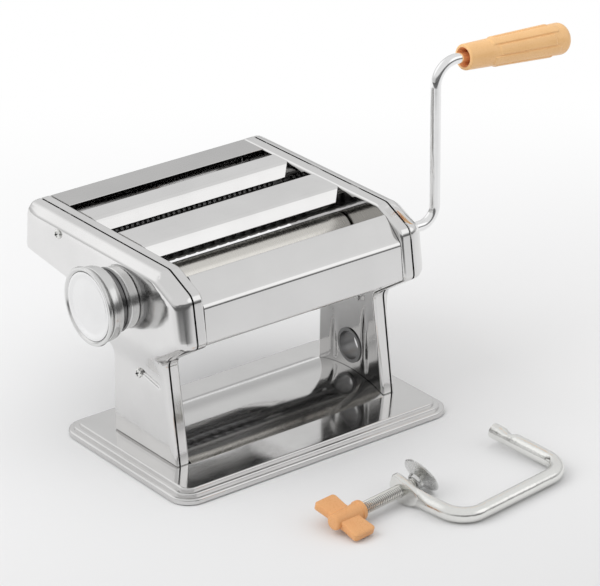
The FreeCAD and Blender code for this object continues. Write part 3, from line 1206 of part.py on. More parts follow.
def bent_rod(points, radii, section):
    """A round section swept along straight runs joined by tangent arcs."""
    edges = []
    last = points[0]
    for i, radius in enumerate(radii, start=1):
        first, middle, end = bend(points[i - 1], points[i], points[i + 1], radius)
        edges.append(Part.makeLine(last, first))
        edges.append(Part.Arc(first, middle, end).toShape())
        last = end
    edges.append(Part.makeLine(last, points[-1]))
    circle = Part.Wire(Part.makeCircle(section, points[0], points[1] - points[0]))
    return Part.Wire(edges).makePipeShell([circle], True, False)


def make_crank_rod():
    """The cranked rod: hexagonal driving end, arm, and the spindle that the grip turns on."""
    drive_y, height = size("drive_setback"), size("roller_height")
    hex_start = value("shaft_end - socket_depth + 0.6")
    hex_end = hex_start + size("hex_length")
    path = [Vector(hex_end, drive_y, height), Vector(size("crank_standoff"), drive_y, height), ARM_TOP,
            ARM_TOP + GRIP_AXIS * size("rod_tip")]
    rod = bent_rod(path, [size("lower_bend"), size("upper_bend")], size("rod_dia") / 2)
    corners = [Vector(hex_start, drive_y + value(y), height + value(z))
               for y, z in hexagon_corners("hex_flats")]
    end_face = Part.Face(Part.makePolygon(corners + corners[:1]))
    driver = end_face.extrude(Vector(hex_end + 0.5 - hex_start, 0, 0))
    notch_at = ARM_TOP + GRIP_AXIS * size("clip_at")
    notch = Part.makeCylinder(size("rod_dia"), 1.2, notch_at, GRIP_AXIS).cut(
        Part.makeCylinder(size("rod_dia") / 2 - size("clip_groove"), 1.2, notch_at, GRIP_AXIS))
    return rod.fuse(driver).removeSplitter().cut(notch)


piece("crank_rod", make_crank_rod())


def along_grip(body):
    """Lays a body drawn along +X from the arm on the grip's drooping axis."""
    return keep(place_at(body, "crank_standoff", "drive_setback", "roller_height + crank_throw", DROOPED))


along_grip(turned("grip_clip", tube_profile("rod_dia / 2 - clip_groove", "clip_dia / 2", "clip_at + 0.1",
                                            "clip_at + 1.1")))


def grip_radius(along, grow="0"):
    """The grip's tapering radius, as an expression."""
    share = f"({along} - grip_start) / grip_length"
    return f"(grip_small + (grip_large - grip_small) * {share}) / 2 + {grow}"


def make_grip():
    """The moulded grip: a long taper with a rounded end, eight lengthwise ribs and a stepped bore."""
    end = "(grip_start + grip_length)"
    body = turned("crank_grip", [("grip_start", "0"), ("grip_start", "grip_small / 2"),
                                 (end, "grip_large / 2"), (end, "0")])
    doc.recompute()
    for text, x in (("grip_large * 0.42", end), ("0.8", "grip_start")):
        solid = body.Tip
        rims = [f"Edge{number}" for number, edge in enumerate(solid.Shape.Edges, start=1)
                if edge.BoundBox.XLength < 0.01 and abs(edge.BoundBox.XMin - value(x)) < 0.01]
        rounding = body.newObject("PartDesign::Fillet", "crank_grip_rounding")
        rounding.Base = (solid, rims)
        rounding.setExpression("Radius", bind(text))
        body.Tip = rounding
        doc.recompute()
    ribs = (("grip_start + 19", f"{end} - 11", 0), ("grip_start + 23.5", f"{end} - 15", 45))
    for start, stop, turn in ribs:
        sketch = sketch_on(body, "XY_Plane")
        sketch.AttachmentOffset = Placement(Vector(), Rotation(Vector(1, 0, 0), turn))
        draw_polygon(sketch, [(start, grip_radius(start, "-1")), (start, grip_radius(start, "grip_rib")),
                              (stop, grip_radius(stop, "grip_rib")), (stop, grip_radius(stop, "-1"))])
        rib = feature(sketch, "Revolution", Angle="2 * asin(rib_width / (grip_small + grip_large) * 2)")
        rib.ReferenceAxis = (sketch, ["H_Axis"])
        rib.Midplane = True
        repeated(rib, "Polar", "H_Axis", "4").Angle = 360
    sketch = sketch_on(body, "XY_Plane")
    draw_polygon(sketch, [("grip_start - 1", "0"), ("grip_start - 1", "grip_bore + 2.2"),
                          ("grip_start", "grip_bore + 2.2"), ("grip_start + 5", "grip_bore"),
                          ("clip_at - 0.2", "grip_bore"), ("clip_at - 0.2", "clip_dia / 2 + 0.2"),
                          ("clip_at + 1.4", "clip_dia / 2 + 0.2"), ("clip_at + 1.4", "grip_bore"),
                          ("rod_tip + 0.6", "grip_bore"), ("rod_tip + 0.6", "0")])
    bore = feature(sketch, "Groove")
    bore.ReferenceAxis = (sketch, ["H_Axis"])
    bore.Angle = 360
    return body


along_grip(make_grip())

# -------------------------------------------------------------------------------------------- table clamp
# Drawn with the screw along +X, the back of the C at -Y and everything about the XY plane, then laid down.
THROAT = size("clamp_throat")
SKEW = math.tan(math.radians(size("clamp_skew")))
CLAMP_TURN = Rotation(Vector(0, 0, 1), size("clamp_turn")) * Rotation(Vector(1, 0, 0), size("clamp_roll"))
CLAMP_CORNER = Vector(size("clamp_x"), size("clamp_y"), size("clamp_tube") / 2)
CLAMP_PLACE = Placement(CLAMP_CORNER - CLAMP_TURN.multVec(Vector(THROAT * SKEW, -THROAT, 0)), CLAMP_TURN)


def ellipse_xz(half_x, half_z, y):
    """An upright ellipse across the Y axis."""
    curve = Part.Ellipse(Vector(0, 0, 0), max(half_x, half_z), min(half_x, half_z) - 1e-4)
    wire = Part.Wire(curve.toShape())
    wire.rotate(Vector(0, 0, 0), Vector(1, 0, 0), 90)
    if half_z > half_x:
        wire.rotate(Vector(0, 0, 0), Vector(0, 1, 0), 90)
    wire.translate(Vector(0, y, 0))
    return wire


def make_clamp_frame():
    """A bent tube: flattened and bored where the screw passes, open where it enters the machine."""
    radius = size("clamp_tube") / 2
    neck_start = -15.0
    first = THROAT * SKEW
    points = [Vector(-neck_start * SKEW, neck_start, 0), Vector(first, -THROAT, 0),
              Vector(first + size("clamp_span"), -THROAT, 0),
              Vector(first + size("clamp_span"), -THROAT + size("clamp_arm"), 0)]
    tube = bent_rod(points, [size("clamp_bend")] * 2, radius)
    inward = (points[2] - points[3]).normalize()
    bore = Part.makeCylinder(size("clamp_bore") / 2, 31.0, points[3] - inward, inward)
    half_thick, half_wide = size("boss_thick") / 2, size("boss_wide") / 2
    boss = Part.makeCylinder(half_wide, size("boss_thick"), Vector(-half_thick, 0, 0), Vector(1, 0, 0))
    round_end = ellipse_xz(radius, radius, neck_start)
    round_end.translate(Vector(-neck_start * SKEW, 0, 0))
    flat_end = ellipse_xz(half_thick, half_wide - 0.8, -3.0)
    neck = Part.makeLoft([round_end, flat_end], True, True)
    threaded = Part.makeCylinder(size("screw_dia") / 2 + 0.08, 3 * half_wide, Vector(-1.5 * half_wide, 0, 0),
                                 Vector(1, 0, 0))
    return tube.cut(bore).fuse([neck, boss]).removeSplitter().cut(threaded)


piece("clamp_frame", make_clamp_frame(), CLAMP_PLACE)
clamp_screw = turned("clamp_screw", [("handle_back + 4", "0"), ("handle_back + 4", "screw_dia / 2"),
                                     ("screw_reach", "screw_dia / 2"), ("screw_reach", "0")])
clamp_screw.Placement = CLAMP_PLACE
keep(clamp_screw)


def make_handle():
    """The moulded wing handle: a hub with two blunt wings, moulded on the screw's end."""
    body = turned("clamp_handle", [("handle_back", "0"), ("handle_back", "handle_hub / 2"),
                                   ("-handle_start", "handle_hub / 2"), ("-handle_start", "0")])
    low = "handle_back + (handle_length - handle_wing) / 2 - handle_lead"
    sketch = sketch_on(body, "XY_Plane")
    sketch.AttachmentOffset = Placement(Vector(), Rotation(Vector(1, 0, 0), size("handle_roll")))
    draw_polygon(sketch, box_corners(low, f"{low} + handle_wing", "-handle_span / 2", "handle_span / 2"))
    wing = feature(sketch, "Pad", Length="handle_thick")
    wing.Midplane = True
    doc.recompute()
    rounding = body.newObject("PartDesign::Fillet", "clamp_handle_rounding")
    rounding.Base = (wing, [f"Edge{number}" for number, edge in enumerate(wing.Shape.Edges, start=1)
                            if abs(edge.Length - size("handle_thick")) < 0.01
                            and edge.CenterOfMass.sub(Vector(edge.CenterOfMass.x, 0, 0)).Length
                            > size("handle_span") / 2 - 0.1])
    rounding.setExpression("Radius", bind("wing_corner"))
    cut_x(body, 1, "handle_back + 4", "-handle_start", (draw_circle, "screw_dia / 2"))
    body.Placement = CLAMP_PLACE
    return keep(body)


make_handle()

# A dished disc on a short cup, loose on the screw's tip and hanging askew.
dish = turned("clamp_pad_dish", [
    ("0", "0"), ("0", "screw_dia / 2"), ("3.6", "screw_dia / 2"), ("5.6", "pad_dia * 0.3"),
    ("7.4", "pad_dia / 2 - 0.8"), ("8.4", "pad_dia / 2"), ("8.8", "pad_dia / 2 - 0.8"),
    ("7", "pad_dia * 0.3"), ("5.2", "3"), ("5", "0")])
dish.Placement = CLAMP_PLACE.multiply(Placement(Vector(size("screw_reach") - 0.6, 0, 0),
                                                Rotation(Vector(0, 1, 0), -size("pad_tilt"))))
tip_room = cylinder("clamp_pad_room", "screw_dia / 2 + 0.6", "5")
tip_room.Placement = CLAMP_PLACE.multiply(Placement(Vector(size("screw_reach") - 4.8, 0, 0),
                                                    Rotation(Vector(0, 1, 0), 90)))
pad = doc.addObject("Part::Cut", "clamp_pad")
pad.Label = "clamp_pad"
pad.Base = dish
pad.Tool = tip_room
keep(pad)

# ------------------------------------------------------------------------------------------------- export
doc.recompute()
for item in doc.Objects:
    if {"Invalid", "Error"} & set(item.State):
        raise RuntimeError(f"{item.Label} failed to compute")
for item in SUBPARTS:
    shape = item.Shape
    if shape.isNull() or not shape.isValid() or not shape.Solids:
        raise RuntimeError(f"{item.Label} has no valid solid")
os.makedirs("parts", exist_ok=True)
for item in SUBPARTS:
    item.Shape.exportStep(os.path.join("parts", item.Label + ".step"))
print(len(SUBPARTS), "sub-parts,", sum(len(item.Shape.Solids) for item in SUBPARTS), "solids")
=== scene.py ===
import math

import bpy
import numpy as np
from mathutils import Matrix, Vector
from mathutils.geometry import delaunay_2d_cdt


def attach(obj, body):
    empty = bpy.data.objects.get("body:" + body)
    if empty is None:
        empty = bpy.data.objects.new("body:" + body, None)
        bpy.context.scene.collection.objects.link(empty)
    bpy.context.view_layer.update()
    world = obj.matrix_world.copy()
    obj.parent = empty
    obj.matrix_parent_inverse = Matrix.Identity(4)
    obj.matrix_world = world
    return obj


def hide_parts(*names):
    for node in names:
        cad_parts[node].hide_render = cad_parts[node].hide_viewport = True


# Hand-cranked pasta machine with its table clamp lying in front of it. Sizes are millimetres in the
# machine's own frame: +X along the rollers to the crank, -Y the front, +Z up from the table. Meshes
# are built in metres.

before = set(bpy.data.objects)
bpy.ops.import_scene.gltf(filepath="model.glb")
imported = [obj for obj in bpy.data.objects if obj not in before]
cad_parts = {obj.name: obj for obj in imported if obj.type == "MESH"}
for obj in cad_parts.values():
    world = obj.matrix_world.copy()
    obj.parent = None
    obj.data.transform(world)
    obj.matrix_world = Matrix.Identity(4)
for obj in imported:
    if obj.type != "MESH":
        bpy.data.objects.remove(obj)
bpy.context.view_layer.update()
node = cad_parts
MM = 0.001


# ------------------------------------------------------------------------------------------ camera
# A long lens on a stand a little to the left of the machine, looking down on its knob side.
camera_data = bpy.data.cameras.new("camera")
camera = bpy.data.objects.new("camera", camera_data)
bpy.context.scene.collection.objects.link(camera)
bpy.context.scene.camera = camera
FRAME_WIDTH = 600
FOCAL_PIXELS = 3371.3
camera_data.sensor_width = 36.0
camera_data.lens = FOCAL_PIXELS / FRAME_WIDTH * camera_data.sensor_width
camera_data.clip_end = 20.0
turn = math.radians(-37.18)
stoop = math.radians(24.60)
lean = math.radians(-0.489)
back = Vector((math.sin(turn) * math.cos(stoop), -math.cos(turn) * math.cos(stoop), math.sin(stoop)))
level = Vector((math.cos(turn), math.sin(turn), 0.0))
upright = back.cross(level)
right = level * math.cos(lean) + upright * math.sin(lean)
up = back.cross(right)
camera.matrix_world = Matrix((
    (right.x, up.x, back.x, -1.1394),
    (right.y, up.y, back.y, -1.5481),
    (right.z, up.z, back.z, 0.9705),
    (0, 0, 0, 1)))


# ------------------------------------------------------------------------------------------ studio
# A pale table that runs into a white backdrop, in a tent of white cloth: brightest at the front
# right, greyer overhead and behind, with the dark gap that the camera looks through. Two lamps
# behind the cloth add light from above and from the left.
class Value:
    """A socket in a finish's node tree. Sums on it add Math nodes."""

    def __init__(self, finish, socket):
        self.finish = finish
        self.socket = socket

    def maths(self, operation, first, second=0.0):
        return self.finish.add("Math", {"operation": operation}, {0: first, 1: second})

    def __add__(self, other):
        return self.maths("ADD", self, other)

    __radd__ = __add__

    def __sub__(self, other):
        return self.maths("SUBTRACT", self, other)

    def __rsub__(self, other):
        return self.maths("SUBTRACT", other, self)

    def __mul__(self, other):
        return self.maths("MULTIPLY", self, other)

    __rmul__ = __mul__

    def __abs__(self):
        return self.maths("ABSOLUTE", self)


class Finish:
    """The node tree of one material or of the world."""

    def __init__(self, holder):
        holder.use_nodes = True
        self.holder = holder
        self.tree = holder.node_tree
        self.tree.nodes.clear()

    def add(self, kind, settings=None, inputs=None, output=0):
        """A node: its settings are set first, then its sockets' values and links."""
        made = self.tree.nodes.new("ShaderNode" + kind)
        for key, value in (settings or {}).items():
            setattr(made, key, value)
        for key, value in (inputs or {}).items():
            socket = made.inputs[key]
            if isinstance(value, Value):
                self.tree.links.new(value.socket, socket)
            elif socket.type == "RGBA":
                socket.default_value = (*value, 1)
            else:
                socket.default_value = value
        return Value(self, made.outputs[output]) if made.outputs else None

    def place(self):
        """The point on the object, in metres."""
        return self.add("TexCoord", output=3)

    def stretched(self, x, y, z):
        """The point with each axis scaled, so that grain can run along the machine."""
        return self.add("VectorMath", {"operation": "MULTIPLY"}, {0: self.place(), 1: (x, y, z)})

    def noise(self, where, scale, detail=2.0, rough=0.5):
        sockets = {"Vector": where, "Scale": scale, "Detail": detail, "Roughness": rough}
        return self.add("TexNoise", {}, sockets)

    def spread(self, value, low, high, start=0.3, end=0.7, kind="LINEAR"):
        """A value from start to end, stretched over low to high."""
        return self.add("MapRange", {"interpolation_type": kind}, {
            "Value": value, "From Min": start, "From Max": end, "To Min": low, "To Max": high})

    def eased(self, value, low, high, start, end):
        """The same with soft ends."""
        return self.spread(value, low, high, start, end, "SMOOTHSTEP")

    def dot(self, first, second):
        return self.add("VectorMath", {"operation": "DOT_PRODUCT"}, {0: first, 1: second}, output=1)

    def tint(self, factor, first, second):
        return self.add("Mix", {"data_type": "RGBA"}, {0: factor, 6: first, 7: second}, output=2)

    def bump(self, height):
        return self.add("Bump", {}, {"Height": height, "Strength": 1.0, "Distance": MM})

    def shine(self, **inputs):
        """The Principled surface, with underscores for the spaces in its sockets' names."""
        sockets = {key.replace("_", " "): value for key, value in inputs.items()}
        shader = self.add("BsdfPrincipled", {}, sockets)
        self.add("OutputMaterial", {}, {"Surface": shader})
        return self.holder


def finish_of(name):
    return Finish(bpy.data.materials.new(name))


# Along the floor, away from the camera, in metres from the machine.
PAINTED_LIGHT_TURN = (-0.20, 0.05)
BACKDROP_TURN = (0.20, 0.52)
PAINTED_REFLECTION_TURN = (-0.62, -0.30)
SHADED_NEAR_TABLE = (0.755, 0.755, 0.758)
LIT_FAR_TABLE = (0.87, 0.87, 0.873)
PAINTED_DARK_REFLECTION = (0.12, 0.12, 0.12)
WHITE = (1.0, 1.0, 1.0)
REACH = 6.0
floor_data = bpy.data.meshes.new("floor")
floor_data.from_pydata([(-REACH, -REACH, 0), (REACH, -REACH, 0), (REACH, REACH, 0), (-REACH, REACH, 0)],
                       [], [(0, 1, 2, 3)])
floor = bpy.data.objects.new("floor", floor_data)
bpy.context.scene.collection.objects.link(floor)
paint = finish_of("studio_table")
away = paint.dot(paint.place(), (-back.x, -back.y, 0))
seen = paint.add("LightPath", output=0)
mirrored = paint.add("LightPath", output=3)
# Painted light: the table is painted darker in front of the machine, as shade, and lighter behind it.
table_colour = paint.tint(paint.spread(away, 0.0, 1.0, *PAINTED_LIGHT_TURN), SHADED_NEAR_TABLE, LIT_FAR_TABLE)
# Far in front the table turns dark for reflections only, unseen by the camera: a painted reflection of a
# dark room in the metal.
in_painted_reflection = paint.eased(away, 1.0, 0.0, *PAINTED_REFLECTION_TURN) * mirrored
table_colour = paint.tint(in_painted_reflection, table_colour, PAINTED_DARK_REFLECTION)
table_top = paint.add("BsdfDiffuse", {}, {"Color": table_colour})
white_wall = paint.add("Emission", {}, {"Color": WHITE, "Strength": 1.0})
on_wall = paint.eased(away, 0.0, 1.0, *BACKDROP_TURN) * (seen + mirrored)
shown = paint.add("MixShader", {}, {0: on_wall, 1: table_top, 2: white_wall})
paint.add("OutputMaterial", {}, {"Surface": shown})
floor_data.materials.append(paint.holder)

# Where each part of the tent lies from the machine, how bright it is, and its soft edge as the
# cosine of the angle from its middle.
FRONT_BOX, TENT_LEVEL, FRONT_LEVEL, FRONT_EDGE = (0.55, -0.68, 0.48), 0.80, 1.14, (0.905, 0.968)
LEFT_STRIP, STRIP_LIFT, STRIP_EDGE = (-0.42, 0.72, 0.55), 0.28, (0.80, 0.97)
BACK_CLOTH, CLOTH_LIFT, CLOTH_EDGE = (0.60, 0.68, 0.42), -0.04, (0.80, 0.98)
ROOM_FRONT, ROOM_EDGE = (-0.10, -0.99, 0.0), (0.15, 0.75)
GAP_HEIGHT, GAP_EDGE, GAP_ALL_ROUND, GAP_AT_FRONT = 0.10, (0.06, 0.28), 0.20, 0.45
world = bpy.data.worlds.new("studio")
bpy.context.scene.world = world
air = Finish(world)
aim = air.add("TexCoord", output=0)
tent = air.eased(air.dot(aim, FRONT_BOX), TENT_LEVEL, FRONT_LEVEL, *FRONT_EDGE)
tent = tent + air.eased(air.dot(aim, LEFT_STRIP), 0.0, STRIP_LIFT, *STRIP_EDGE)
tent = tent + air.eased(air.dot(aim, BACK_CLOTH), 0.0, CLOTH_LIFT, *CLOTH_EDGE)
height = air.add("SeparateXYZ", {}, {0: aim}, output=2)
in_gap = air.eased(abs(height - GAP_HEIGHT), 1.0, 0.0, *GAP_EDGE)
to_front = air.eased(air.dot(aim, ROOM_FRONT), 0.0, 1.0, *ROOM_EDGE)
tent = tent - in_gap * (to_front * GAP_AT_FRONT + GAP_ALL_ROUND)
cloth = air.add("Mix", {"data_type": "RGBA", "clamp_factor": False}, {0: tent, 6: (0, 0, 0), 7: WHITE},
                output=2)
sky = air.tint(air.add("LightPath", output=0), cloth, WHITE)
air.add("OutputWorld", {}, {"Surface": air.add("Background", {}, {"Color": sky, "Strength": 1.0})})


def soft_box(name, place, target, size, power):
    """A square lamp behind the tent's cloth: it lights the set and shows in no reflection."""
    data = bpy.data.lights.new(name, "AREA")
    data.shape = "RECTANGLE"
    data.size = size
    data.size_y = size
    data.energy = power
    lamp = bpy.data.objects.new(name, data)
    lamp.location = place
    lamp.rotation_mode = "QUATERNION"
    lamp.rotation_quaternion = (Vector(target) - Vector(place)).to_track_quat("-Z", "Y")
    lamp.visible_glossy = False
    bpy.context.scene.collection.objects.link(lamp)


soft_box("overhead_box", (0.2, -0.1, 1.6), (0, 0, 0.05), 1.8, 2.4)
soft_box("left_box", (-1.3, 0.3, 1.2), (0, 0, 0.05), 1.4, 12.0)


# -------------------------------------------------------------------------------------------- base
# One deep-drawn tray of polished stainless sheet: two beads round the rim, a platform for the legs
# and a low arch that turns the dough outwards. It stands on four rubber feet; screws and nuts
# through it hold the frames.
SMEARED = 0.93
ACROSS_GRAIN = (60.0, (0.5, 8.0, 8.0))
EVEN_GRAIN = (90.0, (3.0, 3.0, 3.0))


def steel(name, colour, rough, grain, wave, scratch):
    """Bright metal: grain as (scale, stretch), faint waves of the sheet, and small wear marks."""
    grain_scale, grain_along = grain
    made = finish_of(name)
    grain = made.noise(made.stretched(*grain_along), grain_scale, 6.0, 0.65)
    smear = made.noise(made.place(), 22.0, 4.0, 0.6)
    marks = made.noise(made.stretched(3.0, 1.0, 1.4), 900.0, 3.0, 0.7)
    worn = made.spread(marks, 0.0, 1.0, 0.62, 0.78)
    roughness = made.spread(grain, *rough) + made.spread(smear, -0.02, 0.03) + worn * 0.05
    smeared = tuple(part * SMEARED for part in colour)
    shade = made.tint(made.spread(smear, 0.0, 1.0), colour, smeared)
    ripple = made.noise(made.place(), 30.0, 1.0, 0.4)
    return made.shine(Base_Color=shade, Metallic=1.0, Roughness=roughness,
                      Normal=made.bump(ripple * wave + grain * scratch))


def plastic(name, colour, blotched, rough, relief):
    """Moulded plastic or rubber: faint blotches and a fine moulded texture."""
    made = finish_of(name)
    blotch = made.noise(made.place(), 60.0, 3.0, 0.6)
    fine = made.noise(made.place(), 1400.0, 2.0, 0.6)
    moulded = made.add("Bump", {}, {"Height": fine, "Strength": relief, "Distance": 0.0002})
    return made.shine(Base_Color=made.tint(made.spread(blotch, 0.0, 1.0), colour, blotched), Metallic=0.0,
                      Roughness=made.spread(fine, rough, rough + 0.12), Normal=moulded)


def cover_with(material, *names):
    """Gives CAD nodes their finish."""
    for name in names:
        node[name].data.materials.clear()
        node[name].data.materials.append(material)


base_sheet = steel("polished_base_sheet", (0.70, 0.695, 0.69), (0.06, 0.12), ACROSS_GRAIN, 0.20, 0.010)
black_rubber = plastic("black_rubber", (0.03, 0.03, 0.03), (0.05, 0.05, 0.05), 0.65, 0.5)
plain_steel = steel("plain_steel", (0.50, 0.50, 0.49), (0.25, 0.36), EVEN_GRAIN, 0.05, 0.08)
cover_with(base_sheet, "base_plate")
cover_with(black_rubber, "rubber_feet")
cover_with(plain_steel, "base_screws", "base_nuts")


# ------------------------------------------------------------------------------------- side frames
# Two pans folded from stainless sheet, one at each end of the rollers, open outwards. Each folded
# edge is round; two upright beads pressed into each leg stiffen it. They stand on the base and carry
# every shaft.
INNER_FACE, FRAME_SHEET, FRAME_FOLD, FLANGE_EDGE = 76.0, 1.1, 1.9, 83.0
DRIVE_Y, REAR_Y, REAR_TRAVEL, ROLLER_Z = -18.0, 8.5, 2.3, 111.0
CUTTER_YS, CUTTER_Z = (38.6, 56.4, 78.6, 96.4), 120.5
DRIVE_HOLE, BLOCK_HOLE, CUTTER_HOLE = 7.6, 8.2, 6.6
CLAMP_HOLE = (1.5, 31.8, 10.7)
SIDE_CORNERS = (
    (-32.5, 8.3, 0.8), (35.5, 8.3, 0.8), (33.5, 66.0, 9.0), (68.0, 98.2, 26.0), (121.0, 104.4, 5.0),
    (117.3, 139.8, 5.0), (-26.5, 139.8, 10.0), (-50.0, 129.0, 8.0), (-54.6, 96.8, 5.0), (-23.0, 76.5, 6.0))
LEG_BEADS, BEAD_WIDTH, BEAD_DEPTH = ((20.0, 50.0, 17.5, 19.0), (-12.0, 68.0, -14.5, 19.0)), 1.7, 1.1
FOLD_RINGS = (0.0, 0.02, 0.1, 0.25, 0.5, 0.8, 1.2, 1.6, 1.9, 3.0)
FRAME_SPACING = 3.2
ARC_STEPS, RUN_STEPS, HOLE_STEPS = 9, 13, 40
LEAST_RADIUS = 0.4
SLOPE_STEP = 0.04


def around(steps):
    """Even angles round a full turn."""
    return np.linspace(0.0, 2 * math.pi, steps + 1)[:-1]


def side_outline(inset):
    """Points round the machine's side view, moved in by inset: corners' arcs, even steps between."""
    count = len(SIDE_CORNERS)
    sides = []
    for k in range(count):
        here = np.array(SIDE_CORNERS[k][:2])
        there = np.array(SIDE_CORNERS[(k + 1) % count][:2])
        run = (there - here) / np.linalg.norm(there - here)
        sides.append((here + inset * np.array((-run[1], run[0])), run))
    arcs = []
    for k in range(count):
        (p, d), (q, e) = sides[k - 1], sides[k]
        cross = d[0] * e[1] - d[1] * e[0]
        reach = ((q[0] - p[0]) * e[1] - (q[1] - p[1]) * e[0]) / cross
        corner = p + d * reach
        outer = SIDE_CORNERS[k][2]
        radius = max(outer - inset if cross > 0 else outer + inset, LEAST_RADIUS)
        angle = math.atan2(cross, float(d @ e))
        first = corner - d * radius * math.tan(abs(angle) / 2)
        centre = first + np.array((-d[1], d[0])) * (radius if cross > 0 else -radius)
        arm = first - centre
        arc = []
        for step in np.linspace(0.0, angle, ARC_STEPS):
            c, s = math.cos(step), math.sin(step)
            arc.append(centre + np.array((c * arm[0] - s * arm[1], s * arm[0] + c * arm[1])))
        arcs.append(arc)
    loop = []
    for k in range(count):
        loop += arcs[k]
        start, end = arcs[k][-1], arcs[(k + 1) % count][0]
        for share in np.linspace(0.0, 1.0, RUN_STEPS)[1:-1]:
            loop.append(start + (end - start) * share)
    return np.array(loop)


def inside(loop, points):
    """Which points lie inside a closed loop."""
    within = np.zeros(len(points), bool)
    for (y0, z0), (y1, z1) in zip(loop, np.roll(loop, -1, axis=0)):
        crosses = (z0 > points[:, 1]) != (z1 > points[:, 1])
        with np.errstate(divide="ignore", invalid="ignore"):
            at = (y1 - y0) * (points[:, 1] - z0) / (z1 - z0) + y0
        within ^= crosses & (points[:, 0] < at)
    return within


def depth_in(loop, points):
    """How far each point is inside a closed loop; less than nothing outside it."""
    nearest = np.full(len(points), 1e9)
    for start, end in zip(loop, np.roll(loop, -1, axis=0)):
        along = end - start
        share = np.clip(((points - start) @ along) / (along @ along), 0.0, 1.0)
        gap = points - start - share[:, None] * along
        nearest = np.minimum(nearest, np.hypot(gap[:, 0], gap[:, 1]))
    return np.where(inside(loop, points), nearest, -nearest)


def inward(loop, points):
    """The direction away from the nearest edge, at each point."""
    step = 0.02
    y = depth_in(loop, points + (step, 0.0)) - depth_in(loop, points - (step, 0.0))
    z = depth_in(loop, points + (0.0, step)) - depth_in(loop, points - (0.0, step))
    return np.stack((y, z), -1) / np.maximum(np.hypot(y, z), 1e-9)[:, None]


def even_grid(y_from, y_to, z_from, z_to, spacing):
    """Points spread evenly over a rectangle of the side view."""
    rows = np.meshgrid(np.arange(y_from, y_to, spacing), np.arange(z_from, z_to, spacing))
    return np.stack(rows, -1).reshape(-1, 2)


def pressed_plan(insets, spacing, holes, extra=()):
    """A flat mesh of the side view: rings at these insets, a grid inside them, and round holes."""
    loops = [side_outline(inset) for inset in insets]
    grid = even_grid(-60.0, 125.0, 6.0, 145.0, spacing)
    grid = grid[inside(loops[-1], grid)]
    grid = grid[depth_in(loops[-1], grid) > spacing * 0.5]
    round_hole = around(HOLE_STEPS)
    for y, z, radius in holes:
        grid = grid[np.hypot(grid[:, 0] - y, grid[:, 1] - z) > radius + spacing * 0.6]
        loops.append(np.stack((y + radius * np.cos(round_hole), z + radius * np.sin(round_hole)), -1))
        wider = radius + spacing * 0.35
        turned = round_hole + 0.08
        ring = np.stack((y + wider * np.cos(turned), z + wider * np.sin(turned)), -1)
        grid = np.concatenate([grid, ring])
    points = [*grid, *extra]
    edges = []
    for loop in loops:
        first = len(points)
        points += list(loop)
        edges += [(first + k, first + (k + 1) % len(loop)) for k in range(len(loop))]
    flat, _, faces, _, _, _ = delaunay_2d_cdt([Vector(point) for point in points], edges, [], 0, 1e-5)
    flat = np.array([tuple(point) for point in flat])
    faces = np.array([face for face in faces if len(face) == 3])
    middles = flat[faces].mean(axis=1)
    keep = inside(loops[0], middles)
    for y, z, radius in holes:
        keep &= np.hypot(middles[:, 0] - y, middles[:, 1] - z) > radius
    used, faces = np.unique(faces[keep], return_inverse=True)
    faces = faces.reshape(-1, 3)
    flat = flat[used]
    a, b, c = flat[faces[:, 0]], flat[faces[:, 1]], flat[faces[:, 2]]
    doubled_area = (b[:, 0] - a[:, 0]) * (c[:, 1] - a[:, 1]) - (b[:, 1] - a[:, 1]) * (c[:, 0] - a[:, 0])
    backward = doubled_area < 0
    faces[backward] = faces[backward][:, ::-1]
    return flat, faces


def sheet_mesh(name, places, normals, faces, thick, material, *stands_for):
    """A sheet: one side through places, the other a thickness behind it, closed round every edge."""
    count = len(places)
    sides = {}
    for face in faces:
        for k in range(len(face)):
            sides[(face[k], face[(k + 1) % len(face)])] = True
    all_faces = [tuple(face) for face in faces]
    all_faces += [tuple(k + count for k in face[::-1]) for face in faces]
    all_faces += [(b, a, a + count, b + count) for a, b in sides if (b, a) not in sides]
    points = np.concatenate([places, places - normals * thick])
    mesh = bpy.data.meshes.new(name)
    mesh.from_pydata((points * MM).tolist(), [], all_faces)
    mesh.shade_smooth()
    loop_normals = []
    for face in faces:
        loop_normals += [tuple(normals[k]) for k in face]
    for face in faces:
        loop_normals += [tuple(-normals[k]) for k in face[::-1]]
    for face in all_faces[2 * len(faces):]:
        a, b, c, d = (points[k] for k in face)
        edge_normal = np.cross(c - a, d - b)
        loop_normals += [tuple(edge_normal / max(np.linalg.norm(edge_normal), 1e-9))] * 4
    mesh.normals_split_custom_set(loop_normals)
    mesh.materials.append(material)
    made = bpy.data.objects.new(name, mesh)
    bpy.context.scene.collection.objects.link(made)
    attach(made, "base")
    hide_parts(*stands_for)
    return made


def pressed_normals(height, flat, facing, rim_reach, rim_lean):
    """Normals of a pressed sheet whose height is over the side view; its rim faces outwards."""
    to_y, to_z = np.array((SLOPE_STEP, 0.0)), np.array((0.0, SLOPE_STEP))
    slope_y = (height(flat + to_y) - height(flat - to_y)) / (2 * SLOPE_STEP)
    slope_z = (height(flat + to_z) - height(flat - to_z)) / (2 * SLOPE_STEP)
    normals = facing * np.stack((np.ones(len(flat)), -slope_y, -slope_z), -1)
    on_rim = np.abs(depth_in(frame_loop, flat)) < rim_reach
    leaning = np.full((on_rim.sum(), 1), rim_lean)
    normals[on_rim] = np.concatenate([leaning, -inward(frame_loop, flat[on_rim])], axis=1)
    return normals / np.linalg.norm(normals, axis=1)[:, None]


def bead(points, y0, z0, y1, z1, width, depth):
    """A round pressed bead along a line."""
    start = np.array((y0, z0))
    along = np.array((y1 - y0, z1 - z0))
    share = np.clip(((points - start) @ along) / (along @ along), 0.0, 1.0)
    gap = points - start - share[:, None] * along
    return depth * np.exp(-(np.hypot(gap[:, 0], gap[:, 1]) / width) ** 2)


